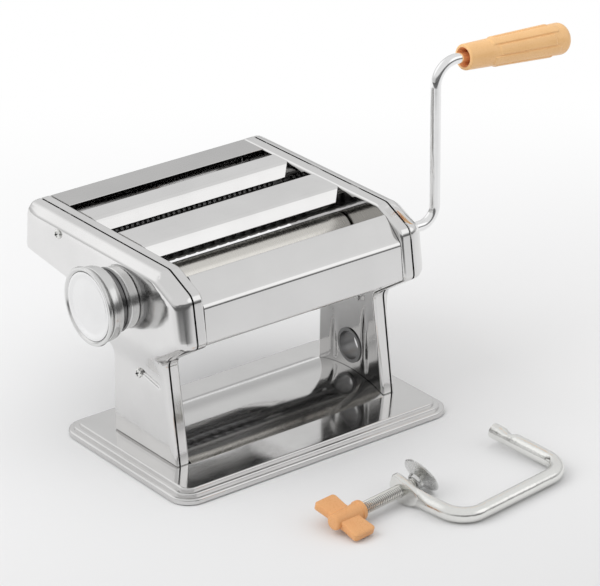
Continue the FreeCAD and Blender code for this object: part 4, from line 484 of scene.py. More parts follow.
def frame_depth(points):
    """The pan's inner face from the middle plane: flat web, round fold, and the beads in the leg."""
    edge = np.maximum(depth_in(frame_loop, points), 0.0)
    fold = np.clip(1.0 - edge / FRAME_FOLD, 0.0, 1.0)
    rise = FRAME_FOLD * (1.0 - np.sqrt(np.maximum(1.0 - fold ** 2, 0.0)))
    beads = sum(bead(points, *line, BEAD_WIDTH, BEAD_DEPTH) for line in LEG_BEADS)
    return INNER_FACE + rise + beads


def frame_pan(name, side, holes):
    """One pan, from its web round the fold and along the flange."""
    flat, faces = pressed_plan(FOLD_RINGS, FRAME_SPACING, holes)
    normals = pressed_normals(frame_depth, flat, -1.0, 0.005, 0.0)
    places = np.stack((frame_depth(flat), flat[:, 0], flat[:, 1]), -1)
    order = {tuple(np.round(point, 3)): k for k, point in enumerate(flat)}
    corners = [tuple(np.round(point, 3)) for point in frame_loop]
    rim = [order[corner] for corner in corners if corner in order]
    wall = places[rim].copy()
    wall[:, 0] = FLANGE_EDGE
    first = len(places)
    places = np.concatenate([places, wall])
    normals = np.concatenate([normals, normals[rim]])
    web = [tuple(face[::-1]) for face in faces.tolist()]
    flange = []
    for k in range(len(rim)):
        m = (k + 1) % len(rim)
        flange.append((rim[k], rim[m], first + m, first + k))
    if side < 0:
        places[:, 0] *= -1
        normals[:, 0] *= -1
        web = [face[::-1] for face in web]
        flange = [face[::-1] for face in flange]
    pan = sheet_mesh("frame_pan_" + name, places, normals, web + flange, FRAME_SHEET, frame_sheet,
                     "side_frame_" + name)
    # The web inside the fold is the same sheet painted darker: painted shade inside the machine.
    pan.data.materials.append(shaded_web_sheet)
    web_depths = depth_in(frame_loop, flat[faces].mean(axis=1))
    for face, depth_here in zip(pan.data.polygons, web_depths):
        face.material_index = 1 if depth_here > FRAME_FOLD else 0


UPRIGHT_GRAIN = (60.0, (8.0, 8.0, 0.5))
frame_sheet = steel("polished_frame_sheet", (0.78, 0.775, 0.77), (0.06, 0.12), UPRIGHT_GRAIN, 0.22, 0.012)
# The web's copy of the frame sheet is painted darker, as the shade inside the machine.
shaded_web_sheet = steel("painted_shade_web_sheet", (0.50, 0.495, 0.49), (0.05, 0.10), UPRIGHT_GRAIN, 0.22, 0.012)
frame_loop = side_outline(0.0)
shaft_holes = [(DRIVE_Y, ROLLER_Z, DRIVE_HOLE), (REAR_Y - REAR_TRAVEL / 2, ROLLER_Z, BLOCK_HOLE)]
shaft_holes += [(y, CUTTER_Z, CUTTER_HOLE) for y in CUTTER_YS]
frame_pan("left", -1, shaft_holes)
frame_pan("right", 1, [*shaft_holes, CLAMP_HOLE])


# ------------------------------------------------------------------------------------- side covers
# A pressed cap closes each end: a narrow raised panel over the leg that swells smoothly into the
# full head, with rolled edges all round. The left one has a small dart by its lower screw and the
# regulator's shaft hole; the right one has the crank holes and the clamp's hole.
COVER_RIM, LEG_RAISE, HEAD_RAISE = 84.3, 2.3, 8.9
SWELL_FROM, SWELL_TO = 61.0, 89.0
LEG_ROLL, HEAD_ROLL = 2.7, 7.4
COVER_SHEET, COVER_SPACING = 0.8, 2.6
COVER_RINGS = (0.0, 0.03, 0.12, 0.3, 0.55, 0.9, 1.3, 1.8, 2.4, 3.0, 3.8, 4.7, 5.6, 6.4)
SOFTENED_WITHIN, SOFTENED_WAYS, SOFTENED_FROM_EDGE = (1.3, 2.6), 8, 3.2
DART, DART_WIDTH, DART_DEPTH = (1.0, 61.2, -15.5, 57.8), 1.5, 0.75
DART_GRID = (-18.0, 3.5, 54.5, 64.6, 0.6)
KNOB_SHAFT_HOLE = (13.0, 110.2, 5.5)
CRANK_HOLES = ((-18.0, 111.0, 7.5), (38.6, 120.5, 7.5), (78.6, 120.5, 7.5))


def eased(share):
    share = np.clip(share, 0.0, 1.0)
    return share * share * (3.0 - 2.0 * share)


def sharp_cover_out(points):
    """The cap's outer face from the middle plane, with a crease inside each corner."""
    swell = eased((points[:, 1] - SWELL_FROM) / (SWELL_TO - SWELL_FROM))
    roll = LEG_ROLL + (HEAD_ROLL - LEG_ROLL) * swell
    near = np.clip(1.0 - depth_in(frame_loop, points) / roll, 0.0, 1.0)
    return COVER_RIM + (LEG_RAISE + HEAD_RAISE * swell) * np.sqrt(np.maximum(1.0 - near ** 2, 0.0))


def cover_out(points):
    """The cap's outer face with those creases drawn round, as the press leaves them."""
    sharp = sharp_cover_out(points)
    total = sharp.copy()
    for reach in SOFTENED_WITHIN:
        for angle in around(SOFTENED_WAYS):
            total += sharp_cover_out(points + reach * np.array((math.cos(angle), math.sin(angle))))
    mean = total / (1 + len(SOFTENED_WITHIN) * SOFTENED_WAYS)
    return sharp + (mean - sharp) * eased(depth_in(frame_loop, points) / SOFTENED_FROM_EDGE)


def darted_cover_out(points):
    """The left cap, with the dart that starts at its lower screw."""
    return cover_out(points) - bead(points, *DART, DART_WIDTH, DART_DEPTH)


def cover_cap(name, side, height, holes, extra=()):
    """One cap, pressed to the height that its outer face has over the side view."""
    flat, faces = pressed_plan(COVER_RINGS, COVER_SPACING, holes, extra)
    normals = pressed_normals(height, flat, 1.0, 0.06, 0.03)
    places = np.stack((height(flat), flat[:, 0], flat[:, 1]), -1)
    if side < 0:
        places[:, 0] *= -1
        normals[:, 0] *= -1
        faces = faces[:, ::-1]
    sheet_mesh("cover_cap_" + name, places, normals, faces.tolist(), COVER_SHEET, cover_sheet,
               "side_cover_" + name)


cover_sheet = steel("polished_cover_sheet", (0.80, 0.795, 0.79), (0.07, 0.13), UPRIGHT_GRAIN, 0.25, 0.012)
cover_cap("left", -1, darted_cover_out, [KNOB_SHAFT_HOLE], even_grid(*DART_GRID))
cover_cap("right", 1, cover_out, [CLAMP_HOLE, *CRANK_HOLES])


# ------------------------------------------------------------------------------------ cover screws
# Four zinc-plated pan-head screws with a cross recess, painted dark down in the cross as shade.
# Each goes through its cover into a post riveted to the frame.
LEFT_SCREWS, RIGHT_SCREWS = ((77.0, 130.7), (5.0, 59.5)), ((109.5, 125.0), (-6.0, 68.6))
SHANK_AND_HEAD = ((-3.4, 1.05), (-0.05, 1.05), (0.0, 3.1), (0.7, 3.15), (1.25, 2.8))
CROWN_RADII = (2.4, 2.0, 1.85, 1.7, 1.5, 1.3, 1.1, 0.9, 0.75, 0.6, 0.5, 0.4, 0.2, 0.05)
CROWN_TOP, CROWN_CURVE = 1.9, 0.10
CROSS_HALF, CROSS_REACH, CROSS_DEPTH, CROSS_TWIST = 0.42, 1.78, 0.9, 0.5
SHADE_REACH, SHADE_TOP = 2.0, 1.6
ZINC_GRAIN = (160.0, (2.0, 2.0, 2.0))
zinc_plate = steel("bright_zinc_plate", (0.82, 0.82, 0.80), (0.14, 0.24), ZINC_GRAIN, 0.35, 0.12)
recess_painted_shade = steel("painted_shade_recess_steel", (0.12, 0.12, 0.12), (0.45, 0.60), ZINC_GRAIN, 0.35, 0.12)


def skin(name, points, faces, material, slot, body, *stands_for, crease=34.0):
    """A piece of these points and faces, smooth but for its creases."""
    mesh = bpy.data.meshes.new(name)
    mesh.from_pydata((points * MM).tolist(), [], faces)
    mesh.shade_smooth()
    mesh.set_sharp_from_angle(angle=math.radians(crease))
    mesh.materials.append(material)
    made = bpy.data.objects.new(name, mesh)
    bpy.context.scene.collection.objects.link(made)
    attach(made, body)
    if stands_for:
        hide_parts(*stands_for)
    return made


def ringed_skin(name, rings, *skin_facts, crease=34.0):
    """A skin through rings of equal length, with its two end rings filled in."""
    rings = np.array(rings)
    count, across = rings.shape[:2]
    faces = [tuple(range(across))[::-1]]
    for k in range(count - 1):
        for n in range(across):
            m = (n + 1) % across
            faces.append((k * across + n, k * across + m, (k + 1) * across + m, (k + 1) * across + n))
    faces.append(tuple((count - 1) * across + n for n in range(across)))
    return skin(name, rings.reshape(-1, 3), faces, *skin_facts, crease=crease)


def pan_screw(name, side, y, z, seat):
    """A pan-head screw with a cross recess, and the part of its shank behind the sheet."""
    angles = around(96)
    rings = [(np.full(96, along), radius) for along, radius in SHANK_AND_HEAD]
    for radius in CROWN_RADII:
        across, upward = np.abs(radius * np.cos(angles)), np.abs(radius * np.sin(angles))
        in_cross = (np.minimum(across, upward) < CROSS_HALF) & (np.maximum(across, upward) < CROSS_REACH)
        rings.append((CROWN_TOP - CROWN_CURVE * radius ** 2 - CROSS_DEPTH * in_cross, radius))
    twisted = angles + CROSS_TWIST
    placed = []
    for along, radius in rings:
        placed.append(np.stack((side * (seat + along), y + side * radius * np.cos(twisted),
                                z + radius * np.sin(twisted)), -1))
    made = ringed_skin(name, placed, zinc_plate, "plain_steel", "base")
    # Faces down in the cross recess are painted dark, as painted shade.
    made.data.materials.append(recess_painted_shade)
    for face in made.data.polygons:
        along = side * face.center.x / MM - seat
        radius = math.hypot(face.center.y / MM - y, face.center.z / MM - z)
        if radius < SHADE_REACH and along < SHADE_TOP - CROWN_CURVE * radius ** 2:
            face.material_index = 1
    return made


for side, side_name, places in ((-1, "left", LEFT_SCREWS), (1, "right", RIGHT_SCREWS)):
    seats = cover_out(np.array(places))
    for number, ((y, z), seat) in enumerate(zip(places, seats), start=1):
        screw = pan_screw(f"cover_screw_{side_name}_{number}", side, y, z, seat)
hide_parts("cover_screws")
cover_with(plain_steel, "cover_posts")


# ------------------------------------------------------------------------- rods between the frames
# Four plain steel rods, turned and tapped at both ends. A screw through each frame holds them, and
# they keep the frames apart.
cover_with(plain_steel, "tie_rods", "tie_rod_screws")


# ----------------------------------------------------------------------------------- smooth rollers
# Two ground steel rollers with gears at the crank end. The drive roller turns in nylon bushes, the
# rear one in nylon blocks that slide on a bar; a sheet scraper lifts the dough off each.
ROLLER_GRAIN = (60.0, (14.0, 0.8, 0.8))
COMB_GRAIN = (60.0, (0.8, 9.0, 9.0))
roller_steel = steel("ground_roller_steel", (0.66, 0.655, 0.64), (0.13, 0.22), ROLLER_GRAIN, 0.05, 0.05)
rear_steel = steel("satin_roller_steel", (0.72, 0.70, 0.66), (0.22, 0.30), ROLLER_GRAIN, 0.05, 0.05)
# The combs' and scrapers' steel is painted dark, as the shade inside the machine.
painted_shade_comb_steel = steel("painted_shade_comb_steel", (0.30, 0.30, 0.30), (0.28, 0.38), COMB_GRAIN, 0.05, 0.05)
white_nylon = plastic("white_nylon", (0.66, 0.65, 0.61), (0.60, 0.59, 0.55), 0.40, 0.3)
cover_with(roller_steel, "drive_roller")
cover_with(rear_steel, "rear_roller")
cover_with(plain_steel, "drive_gear", "rear_gear", "carriage_tie_bar")
cover_with(white_nylon, "drive_bushes", "carriage_block_left", "carriage_block_right")
cover_with(painted_shade_comb_steel, "scraper_front", "scraper_rear")


# ----------------------------------------------------------------------------------------- cutters
# Two pairs of steel cutters whose discs pass each other, wide in front and narrow behind, each in
# nylon bushes with its gear; their steel is painted dark as the shade inside the machine. Steel
# combs between the discs push the noodles out.
# Painted shade: the cutters' steel is darkened as the shade inside the machine.
painted_shade_steel = steel("painted_shade_cutter_steel", (0.22, 0.22, 0.22), (0.30, 0.42), ROLLER_GRAIN, 0.05, 0.05)
cover_with(painted_shade_steel, "wide_cutter_front", "wide_cutter_rear", "narrow_cutter_front",
           "narrow_cutter_rear")
cover_with(plain_steel, "wide_gear_front", "wide_gear_rear", "narrow_gear_front", "narrow_gear_rear")
cover_with(white_nylon, "cutter_bushes")
# The combs take the same steel painted dark as shade.
cover_with(painted_shade_comb_steel, "comb_front", "comb_middle", "comb_rear")


# ------------------------------------------------------------------------------------- front panel
# One bent sheet of polished stainless over the drive roller: a sloping brow, an upright face and a
# lip along both edges. Every fold is round.
FOLD_STEPS, LONGEST_STEP = 7, 2.5
SHEET_STEPS = 41
SHEET_END, TOP_SHEET = 75.7, 1.0
FRONT_CORNERS = ((-46.9, 93.0, 0), (-52.9, 97.1, 2.0), (-50.5, 120.7, 5.0), (-32.7, 137.4, 2.2),
                 (-31.5, 131.4, 0))


def folded_path(corners, turn_steps=FOLD_STEPS):
    """Points along (first, second, radius) corners, with each fold as an arc."""
    corners = [np.array(corner, float) for corner in corners]
    path = [corners[0][:2]]
    for before, corner, after in zip(corners, corners[1:], corners[2:]):
        come = (corner[:2] - before[:2]) / np.linalg.norm(corner[:2] - before[:2])
        go = (after[:2] - corner[:2]) / np.linalg.norm(after[:2] - corner[:2])
        angle = math.atan2(come[0] * go[1] - come[1] * go[0], float(come @ go))
        first = corner[:2] - come * corner[2] * math.tan(abs(angle) / 2)
        centre = first + np.array((-come[1], come[0])) * math.copysign(corner[2], angle)
        arm = first - centre
        for step in np.linspace(0.0, angle, turn_steps):
            c, s = math.cos(step), math.sin(step)
            path.append(centre + np.array((c * arm[0] - s * arm[1], s * arm[0] + c * arm[1])))
    path.append(corners[-1][:2])
    filled = [path[0]]
    for start, end in zip(path, path[1:]):
        pieces = max(1, int(round(np.linalg.norm(end - start) / LONGEST_STEP)))
        for share in np.linspace(0.0, 1.0, pieces + 1)[1:]:
            filled.append(start + (end - start) * share)
    return np.array(filled)


def bent_sheet(name, path, material, stands_for, end_at=lambda y: SHEET_END):
    """A sheet bent along path, from one frame to the other; end_at gives its end by its place."""
    along = np.gradient(path, axis=0)
    along /= np.linalg.norm(along, axis=1)[:, None]
    outward = np.stack((np.zeros(len(path)), -along[:, 1], along[:, 0]), -1)
    places, normals = [], []
    for k, (y, z) in enumerate(path):
        for share in np.linspace(-1.0, 1.0, SHEET_STEPS):
            places.append((share * end_at(y), y, z))
            normals.append(outward[k])
    faces = []
    for k in range(len(path) - 1):
        for n in range(SHEET_STEPS - 1):
            a = k * SHEET_STEPS + n
            faces.append((a, a + 1, a + SHEET_STEPS + 1, a + SHEET_STEPS))
    sheet_mesh(name, np.array(places), np.array(normals), faces, TOP_SHEET, material, stands_for)


top_sheet = steel("polished_top_sheet", (0.80, 0.795, 0.79), (0.06, 0.11), ACROSS_GRAIN, 0.12, 0.010)
bent_sheet("front_panel", folded_path(FRONT_CORNERS), top_sheet, "front_cover")


# ------------------------------------------------------------------------------------ guide plates
# Two bent sheets between the slots: a slope that leads the dough in, a level top and a lip behind.
# The slope's ends are cut back to clear the bushes.
PLATE_TOP, SLOPE_RUN, SLOPE_FALL, PLATE_LIP = 139.5, 6.6, 7.6, 5.0
SLOPE_FOLD, LIP_FOLD = 4.5, 1.8
END_CUT, CUT_OVER, CUT_FROM = 8.6, 8.1, 0.4


def guide_plate(name, stands_for, crease, back_y):
    corners = ((crease - SLOPE_RUN, PLATE_TOP - SLOPE_FALL, 0), (crease, PLATE_TOP, SLOPE_FOLD),
               (back_y, PLATE_TOP, LIP_FOLD), (back_y, PLATE_TOP - PLATE_LIP, 0))
    bent_sheet(name, folded_path(corners), top_sheet, stands_for,
               lambda y: SHEET_END - END_CUT / CUT_OVER * max(0.0, crease - CUT_FROM - y))


guide_plate("guide_sheet_front", "guide_plate_front", 13.65, 40.2)
guide_plate("guide_sheet_rear", "guide_plate_rear", 67.0, 82.4)


# -------------------------------------------------------------------------------------- rear cover
# The last bent sheet, of the same stainless but satin: a level top behind the narrow cutters' slot
# and a back wall down the tail.
TAIL_CORNERS = ((93.6, 136.9, 0), (93.5, 139.5, 0.8), (115.7, 139.5, 2.4), (118.8, 105.9, 0))
tail_finish = steel("satin_tail_sheet", (0.60, 0.595, 0.59), (0.10, 0.16), ACROSS_GRAIN, 0.12, 0.012)
bent_sheet("tail_sheet", folded_path(TAIL_CORNERS), tail_finish, "rear_cover")


# ---------------------------------------------------------------------------------- thickness knob
# A knob of bright aluminium, turned with a thin lip round a dished cap and a groove behind its wide
# land. It is pulled out against its spring, turned and let go onto one of the dial's stop holes.
KNOB_AXIS, OUTWARDS = (0.0, 13.0, 110.2), (-1.0, 0.0, 0.0)
KNOB_PROFILE = (
    (115.0, 5.0, 0), (99.2, 5.0, 0), (99.2, 20.2, 0.5), (100.4, 20.8, 0.5), (101.5, 20.6, 0.3),
    (101.9, 19.3, 0.3), (104.2, 19.5, 0.6), (106.4, 23.2, 1.6), (109.0, 24.0, 4.0), (113.4, 24.1, 0.8),
    (114.2, 21.6, 0.2), (115.3, 21.6, 0.2), (115.5, 24.9, 0.4), (116.7, 25.5, 0.7), (117.9, 24.9, 0.5),
    (118.0, 23.4, 0.6), (117.0, 22.3, 0.3), (116.4, 22.1, 0))
KNOB_BACK = (115.0, 22.0)
CAP_PROFILE = ((115.6, 0.01, 0), (115.6, 22.0, 0), (117.3, 22.0, 0.3), (117.2, 20.2, 1.2),
               (116.5, 17.8, 2.0), (116.4, 0.01, 0))
GROOVE_X, GROOVE_REACH = -0.1030, 0.0045
BRIGHT_LAND, GROOVE_PAINTED_SHADE = (0.72, 0.72, 0.715), (0.24, 0.24, 0.24)


def turned_skin(name, origin, axis, profile, material, slot, body, stands_for, steps=128):
    """A turned piece: profile is (distance along the axis, radius) pairs from one end to the other."""
    axis = np.array(axis, float)
    first = np.cross(axis, (0.0, 0.0, 1.0))
    first /= np.linalg.norm(first)
    second = np.cross(axis, first)
    angles = around(steps)
    round_it = np.cos(angles)[:, None] * first + np.sin(angles)[:, None] * second
    rings = [np.array(origin) + axis * along + radius * round_it for along, radius in profile]
    ringed_skin(name, rings, material, slot, body, stands_for)


knob_metal = finish_of("bright_turned_aluminium")
knob_x = knob_metal.add("SeparateXYZ", {}, {0: knob_metal.place()}, output=0)
# The groove behind the land is painted dark in the colour, as painted shade.
groove_shade = knob_metal.eased(abs(knob_x - GROOVE_X), 1.0, 0.0, GROOVE_REACH * 0.25, GROOVE_REACH)
tool_rings = knob_metal.noise(knob_metal.stretched(1.0, 0.02, 0.02), 1500.0, 2.0, 0.6)
wear = knob_metal.noise(knob_metal.place(), 90.0, 3.0, 0.6)
bright_metal = knob_metal.shine(
    Base_Color=knob_metal.tint(groove_shade, BRIGHT_LAND, GROOVE_PAINTED_SHADE), Metallic=1.0,
    Roughness=knob_metal.spread(tool_rings, 0.15, 0.24) + wear * 0.04,
    Normal=knob_metal.bump(tool_rings * 0.04 + wear * 0.05))
cap_metal = steel("turned_aluminium", (0.84, 0.84, 0.84), (0.12, 0.19), (50.0, (2.0, 2.0, 2.0)), 0.05, 0.05)
turned_skin("knob_turning", KNOB_AXIS, OUTWARDS, [*folded_path(KNOB_PROFILE), KNOB_BACK], bright_metal,
            "turned_aluminium", "knob", "regulator_knob")
turned_skin("knob_cap_turning", KNOB_AXIS, OUTWARDS, folded_path(CAP_PROFILE), cap_metal,
            "turned_aluminium", "knob", "knob_cap")
cover_with(bright_metal, "regulator_dial")
cover_with(plain_steel, "regulator_shaft", "knob_spring", "bracket_screws")
cover_with(top_sheet, "regulator_bracket")


# ------------------------------------------------------------------------------------ clamp sleeve
# A short steel sleeve pressed into the right frame, painted dark as the shade in its hole. The
# clamp's arm goes in there when the machine is fixed to a table's edge.
# The sleeve takes the steel painted dark as shade.
cover_with(painted_shade_steel, "clamp_sleeve")


# ------------------------------------------------------------------------------------------- crank
# A bright plated rod bent twice, with a moulded orange grip that turns on its end behind a spring
# clip. The grip has wide flat ribs that start in turn, a rounded end and an open mouth.
ARM_TOP = np.array((130.0, -18.0, 219.5))
DROOP = math.radians(4.2)
GRIP_AXIS = np.array((math.cos(DROOP), 0.0, -math.sin(DROOP)))
GRIP_FROM, GRIP_TO, GRIP_SMALL, GRIP_LARGE = 22.5, 107.8, 8.5, 10.7
GRIP_STEPS, GRIP_STATIONS, DOME_STEPS = 192, 150, 16
DOME, DOME_FLAT, DOME_TAPER, DOME_START, DOME_MIDDLE = 6.0, 0.30, 0.93, 0.02, 0.05
RIBS, RIB_RISE, RIB_SHARE, RIB_SIDE = 8, 0.75, 0.80, 0.10
LONG_RIB, SHORT_RIB = (19.0, 12.0), (23.5, 16.0)
RIB_START_RAMP, RIB_END_RAMP = 0.8, 1.2
MOUTH = ((0.5, 8.4), (0.15, 8.15), (0.0, 7.8), (0.0, 6.6), (0.2, 6.2), (5.0, 4.1), (12.0, 4.0))
ROD_GRAIN = (70.0, (3.0, 3.0, 3.0))
plated_rod = steel("bright_plated_rod", (0.94, 0.94, 0.94), (0.07, 0.14), ROD_GRAIN, 0.10, 0.03)
orange = plastic("bright_orange_plastic", (0.97, 0.595, 0.272), (0.93, 0.55, 0.24), 0.24, 0.25)
orange_mouth_shade = plastic("orange_plastic_painted_shade", (0.82, 0.30, 0.10), (0.78, 0.26, 0.08), 0.45, 0.25)


def grip_rings():
    """Rings from the rounded end to the mouth and back inside to the bore."""
    angles = around(GRIP_STEPS)
    rib_turn = angles / (2 * math.pi) * RIBS
    off_middle = np.abs((rib_turn % 1.0) - 0.5) * 2
    on_rib = 1.0 - eased((off_middle - RIB_SHARE) / RIB_SIDE)
    is_long = np.floor(rib_turn).astype(int) % 2 == 1
    starts = np.where(is_long, GRIP_FROM + LONG_RIB[0], GRIP_FROM + SHORT_RIB[0])
    ends = np.where(is_long, GRIP_TO - LONG_RIB[1], GRIP_TO - SHORT_RIB[1])
    end_radius = GRIP_SMALL + (GRIP_LARGE - GRIP_SMALL) * DOME_TAPER
    rings = []
    for share in np.linspace(DOME_START, 1.0, DOME_STEPS):
        angle = share * math.pi / 2
        radius = end_radius * (DOME_FLAT + (1.0 - DOME_FLAT) * math.sin(angle))
        if share == DOME_START:
            radius *= DOME_MIDDLE
        rings.append((GRIP_TO - DOME * (1.0 - math.cos(angle)), np.full(GRIP_STEPS, radius)))
    for along in np.linspace(GRIP_TO - DOME, GRIP_FROM + 1.0, GRIP_STATIONS):
        taper = GRIP_SMALL + (GRIP_LARGE - GRIP_SMALL) * (along - GRIP_FROM) / (GRIP_TO - GRIP_FROM)
        started = eased((along - starts) / RIB_START_RAMP)
        not_ended = 1.0 - eased((along - ends) / RIB_END_RAMP)
        rings.append((along, taper + RIB_RISE * started * not_ended * on_rib))
    for inwards, radius in MOUTH:
        rings.append((GRIP_FROM + inwards, np.full(GRIP_STEPS, radius)))
    upward = np.cross(GRIP_AXIS, (0.0, 1.0, 0.0))
    round_it = np.cos(angles)[:, None] * upward + np.sin(angles)[:, None] * np.array((0.0, 1.0, 0.0))
    return [ARM_TOP + GRIP_AXIS * along + radius[:, None] * round_it for along, radius in rings]


MOUTH_FACES = 3 * GRIP_STEPS + 1
grip = ringed_skin("grip_moulding", grip_rings(), orange, "orange_plastic", "grip", "crank_grip",
                   crease=50.0)
# The faces inside the mouth take a darker orange: painted shade inside the opening.
grip.data.materials.append(orange_mouth_shade)
for face in grip.data.polygons[-MOUTH_FACES:]:
    face.material_index = 1
cover_with(plated_rod, "crank_rod", "grip_clip")


# ------------------------------------------------------------------------------------- table clamp
# A bent tube of bright zinc-plated steel, flattened and bored at one end for the screw and dented
# near its open end. It lies on its side on the table, leaning a little.
CLAMP_YAW, CLAMP_LEAN = math.radians(7.4), math.radians(3.9)
CLAMP_TURN = np.array(Matrix.Rotation(CLAMP_YAW, 3, "Z") @ Matrix.Rotation(CLAMP_LEAN, 3, "X"))
FIRST_CORNER, FIRST_CORNER_LAID = (3.083, -49.0, 0.0), (13.6, -188.5, 5.0)
CLAMP_ORIGIN = np.array(FIRST_CORNER_LAID) - CLAMP_TURN @ np.array(FIRST_CORNER)
TUBE_CORNERS = ((0.94, -12.0, 0), (3.083, -49.0, 16.0), (97.08, -49.0, 16.0), (97.08, 12.5, 0))
TUBE_STEPS, TUBE_RADIUS = 56, 5.0
FLAT_LENGTH, FLAT_NARROWER, FLAT_HIGHER = 13.0, 1.9, 1.3
DENT_FROM_MOUTH, DENT_LENGTH, DENT_DEPTH, DENT_NARROWER, DENT_TURN = 13.0, 3.2, 0.42, 0.05, 0.5
BORE_RINGS = ((0.0, 0.78), (-9.0, 0.74))
UPWARD = np.array((0.0, 0.0, 1.0))
clamp_zinc = steel("worn_zinc_tube", (0.88, 0.88, 0.855), (0.08, 0.20), ZINC_GRAIN, 1.1, 0.16)


def laid(points):
    """From the clamp's own frame, with the screw along +X, to where it lies on the table."""
    return CLAMP_ORIGIN + np.array(points) @ CLAMP_TURN.T


def tube_rings():
    """Rings along the tube from its flattened end to its mouth, and back a little inside."""
    path = folded_path(TUBE_CORNERS, turn_steps=17)
    run = np.concatenate([[0.0], np.cumsum(np.linalg.norm(np.diff(path, axis=0), axis=1))])
    along = np.gradient(path, axis=0)
    along /= np.linalg.norm(along, axis=1)[:, None]
    angles = around(TUBE_STEPS)
    upper = np.maximum(np.sin(angles - DENT_TURN), 0.0) ** 2
    rings = []
    for k, (x, y) in enumerate(path):
        flattened = 1.0 - eased(run[k] / FLAT_LENGTH)
        dent = math.exp(-((run[-1] - run[k] - DENT_FROM_MOUTH) / DENT_LENGTH) ** 2)
        dented = 1.0 - DENT_DEPTH * dent * upper - DENT_NARROWER * dent
        wide = (TUBE_RADIUS - FLAT_NARROWER * flattened) * np.cos(angles) * dented
        high = (TUBE_RADIUS + FLAT_HIGHER * flattened) * np.sin(angles) * dented
        side = np.array((-along[k][1], along[k][0], 0.0))
        rings.append(laid(np.array((x, y, 0.0)) + wide[:, None] * side + high[:, None] * UPWARD))
    mouth_x, mouth_y = path[-1]
    for depth, share in BORE_RINGS:
        circle = np.stack((-np.cos(angles), np.zeros(TUBE_STEPS), np.sin(angles)), -1)
        rings.append(laid(np.array((mouth_x, mouth_y + depth, 0.0)) + TUBE_RADIUS * share * circle))
    return rings


ringed_skin("clamp_tube", tube_rings(), clamp_zinc, "zinc_plate", "clamp")

EYE_CORNERS = ((8.2, 2.0, 3.0), (6.2, 9.6, 2.0), (-1.0, 8.6, 4.0), (-14.0, 5.6, 6.0), (-17.0, 1.0, 3.0),
               (-12.0, -6.2, 6.0), (-4.0, -7.6, 5.0), (6.0, -6.6, 4.0))
EYE_START = (7.1, -2.3, 0)
EYE_HALF, EYE_BORE = 2.4, 4.15
EYE_EDGE = ((0.0, 0.86), (0.2, 0.94), (0.9, 1.0))


def clamp_eye():
    """The flattened end: a plate with rounded edges and the screw's bore through it."""
    outline = folded_path((EYE_START, *EYE_CORNERS, EYE_START), turn_steps=9)[:-1]
    angles = np.arctan2(outline[:, 1], outline[:, 0])
    bore = EYE_BORE * np.stack((np.cos(angles), np.sin(angles)), -1)
    section = [(-EYE_HALF, 0.0)]
    section += [(inset - EYE_HALF, share) for inset, share in EYE_EDGE]
    section += [(EYE_HALF - inset, share) for inset, share in EYE_EDGE[::-1]]
    section += [(EYE_HALF, 0.0), (-EYE_HALF, 0.0)]
    count = len(outline)
    points, faces = [], []
    for place, share in section:
        flat = bore + (outline - bore) * share
        points.append(laid(np.concatenate([np.full((count, 1), place), flat], axis=1)))
    for k in range(len(section) - 1):
        for n in range(count):
            m = (n + 1) % count
            faces.append((k * count + n, (k + 1) * count + n, (k + 1) * count + m, k * count + m))
    return np.concatenate(points), faces


skin("clamp_eye", *clamp_eye(), clamp_zinc, "zinc_plate", "clamp", "clamp_frame", crease=40.0)


# ------------------------------------------------------------------------------------- clamp screw
# A zinc-plated steel screw with a rolled thread, through the tube's bored end. The thread's valleys
# are painted dark, as painted shade.
SCREW_AXIS = CLAMP_TURN @ np.array((1.0, 0.0, 0.0))
THREAD_PITCH, THREAD_DEPTH, CREST = 1.5, 0.85, 4.0
FLANK_STEEPNESS, CREST_FLAT = 1.35, 0.1
SCREW_FROM, THREAD_TO, SCREW_TO, TIP_RADIUS = -37.0, 10.2, 11.0, 3.3
SCREW_STEPS = 48
SHADED_BELOW = CREST - THREAD_DEPTH * 0.55
screw_zinc = steel("rolled_screw_zinc", (0.90, 0.89, 0.85), (0.16, 0.26), ZINC_GRAIN, 0.05, 0.08)
thread_valley_shade = steel("painted_shade_thread_valley", (0.34, 0.335, 0.32), (0.35, 0.45), ZINC_GRAIN, 0.05, 0.08)
angles = around(SCREW_STEPS)
screw_rings = []
for along in (*np.arange(SCREW_FROM, THREAD_TO + 0.2, THREAD_PITCH / 8), SCREW_TO):
    radius = np.full(SCREW_STEPS, TIP_RADIUS)
    if along < THREAD_TO:
        wave = np.abs(((along / THREAD_PITCH - angles / (2 * math.pi)) % 1.0) * 2.0 - 1.0)
        radius = CREST - THREAD_DEPTH * np.clip(wave * FLANK_STEEPNESS - CREST_FLAT, 0.0, 1.0)
    ring = (np.full(SCREW_STEPS, along), radius * np.cos(angles), radius * np.sin(angles))
    screw_rings.append(laid(np.stack(ring, -1)))
screw_skin = ringed_skin("rolled_screw", screw_rings, screw_zinc, "zinc_plate", "screw", "clamp_screw",
                         crease=24.0)
# Faces in the thread's valleys are painted dark, as painted shade.
screw_skin.data.materials.append(thread_valley_shade)
for face in screw_skin.data.polygons:
    from_middle = np.array(face.center) / MM - CLAMP_ORIGIN
    off_axis = np.linalg.norm(from_middle - SCREW_AXIS * (from_middle @ SCREW_AXIS))
    face.material_index = 1 if off_axis < SHADED_BELOW else 0


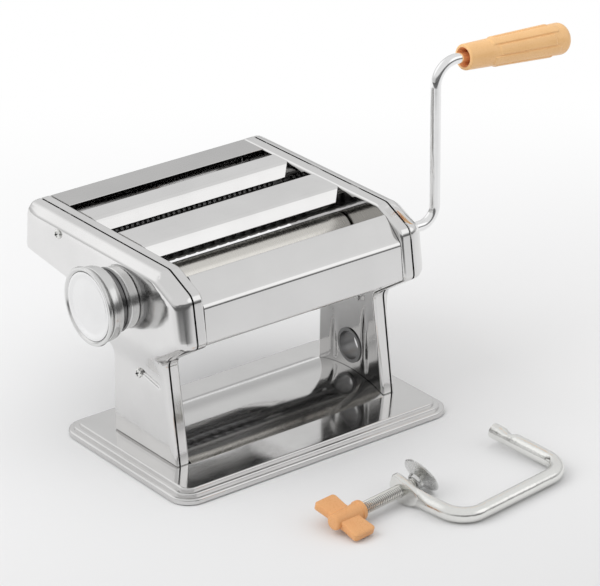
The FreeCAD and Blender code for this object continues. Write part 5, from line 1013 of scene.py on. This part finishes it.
# --------------------------------------------------------------------------------------- clamp pad
# A dished steel disc on a short cup. It is riveted loosely to the screw's tip, so it hangs askew
# until it meets the table.
PAD_PLACE, PAD_TILT = (10.4, 0.0, 0.0), math.radians(-28.0)
PAD_PROFILE = (
    (2.6, 0.01, 0), (2.6, 4.7, 0), (1.6, 4.9, 0), (1.6, 5.5, 0.2), (3.6, 5.7, 1.0), (5.6, 8.2, 3.0),
    (7.4, 12.8, 1.5), (8.3, 13.4, 0.4), (8.8, 12.8, 0.4), (7.0, 8.0, 3.0), (5.6, 3.4, 2.0), (5.4, 0.01, 0))
pad_axis = CLAMP_TURN @ np.array(Matrix.Rotation(PAD_TILT, 3, "Y")) @ np.array((1.0, 0.0, 0.0))
pad_steel = steel("satin_pad_steel", (0.74, 0.74, 0.73), (0.20, 0.30), ZINC_GRAIN, 0.20, 0.10)
turned_skin("pad_dish", laid(PAD_PLACE), pad_axis, folded_path(PAD_PROFILE), pad_steel, "zinc_plate", "pad",
            "clamp_pad", steps=96)


# ------------------------------------------------------------------------------------- wing handle
# Two flat wings on a hub, moulded in one piece of orange plastic round the screw's end. It turns
# the screw by hand.
HUB_PROFILE = ((-59.2, 0.01, 0), (-59.2, 4.9, 1.4), (-50.0, 5.3, 4.0), (-38.6, 5.9, 0.6), (-38.2, 6.5, 0.4),
               (-35.4, 6.5, 0.6), (-35.2, 4.3, 0))
WING_MIDDLE, WING_ROLL, WING_SPAN = -49.2, math.radians(11.3), 18.5
WING_CORNERS = ((8.2, 0.0, 0), (7.4, 7.0, 6.0), (8.6, WING_SPAN, 2.2), (-8.6, WING_SPAN, 2.2),
                (-7.4, 7.0, 6.0), (-8.2, 0.0, 0))
WING_EDGE = ((-2.9, 0.86), (-2.75, 0.93), (-2.1, 1.0), (2.1, 1.0), (2.75, 0.93), (2.9, 0.86))
WING_CENTRE, WING_THINNER = np.array((0.0, 9.5)), 0.12
wing_orange = plastic("handle_orange_plastic", (0.77, 0.40, 0.165), (0.75, 0.36, 0.14), 0.24, 0.25)
turned_skin("handle_hub", CLAMP_ORIGIN, SCREW_AXIS, folded_path(HUB_PROFILE), wing_orange,
            "orange_plastic", "screw", "clamp_handle", steps=64)
wing_outline = folded_path(WING_CORNERS)
for number, way in enumerate((-1, 1), start=1):
    wing_rings = []
    for rise, share in WING_EDGE:
        flat = WING_CENTRE + (wing_outline - WING_CENTRE) * share
        out = flat[:, 1]
        thin = rise * (1.0 - WING_THINNER * out / WING_SPAN)
        y = way * out * math.cos(WING_ROLL) - thin * math.sin(WING_ROLL)
        z = way * out * math.sin(WING_ROLL) + thin * math.cos(WING_ROLL)
        wing_rings.append(laid(np.stack((WING_MIDDLE + flat[:, 0] * way, y, z), -1)))
    ringed_skin(f"handle_wing_{number}", wing_rings, wing_orange, "orange_plastic", "screw", crease=45.0)


# ----------------------------------------------------------------------------------------- closing
bpy.context.scene.view_settings.view_transform = "Standard"
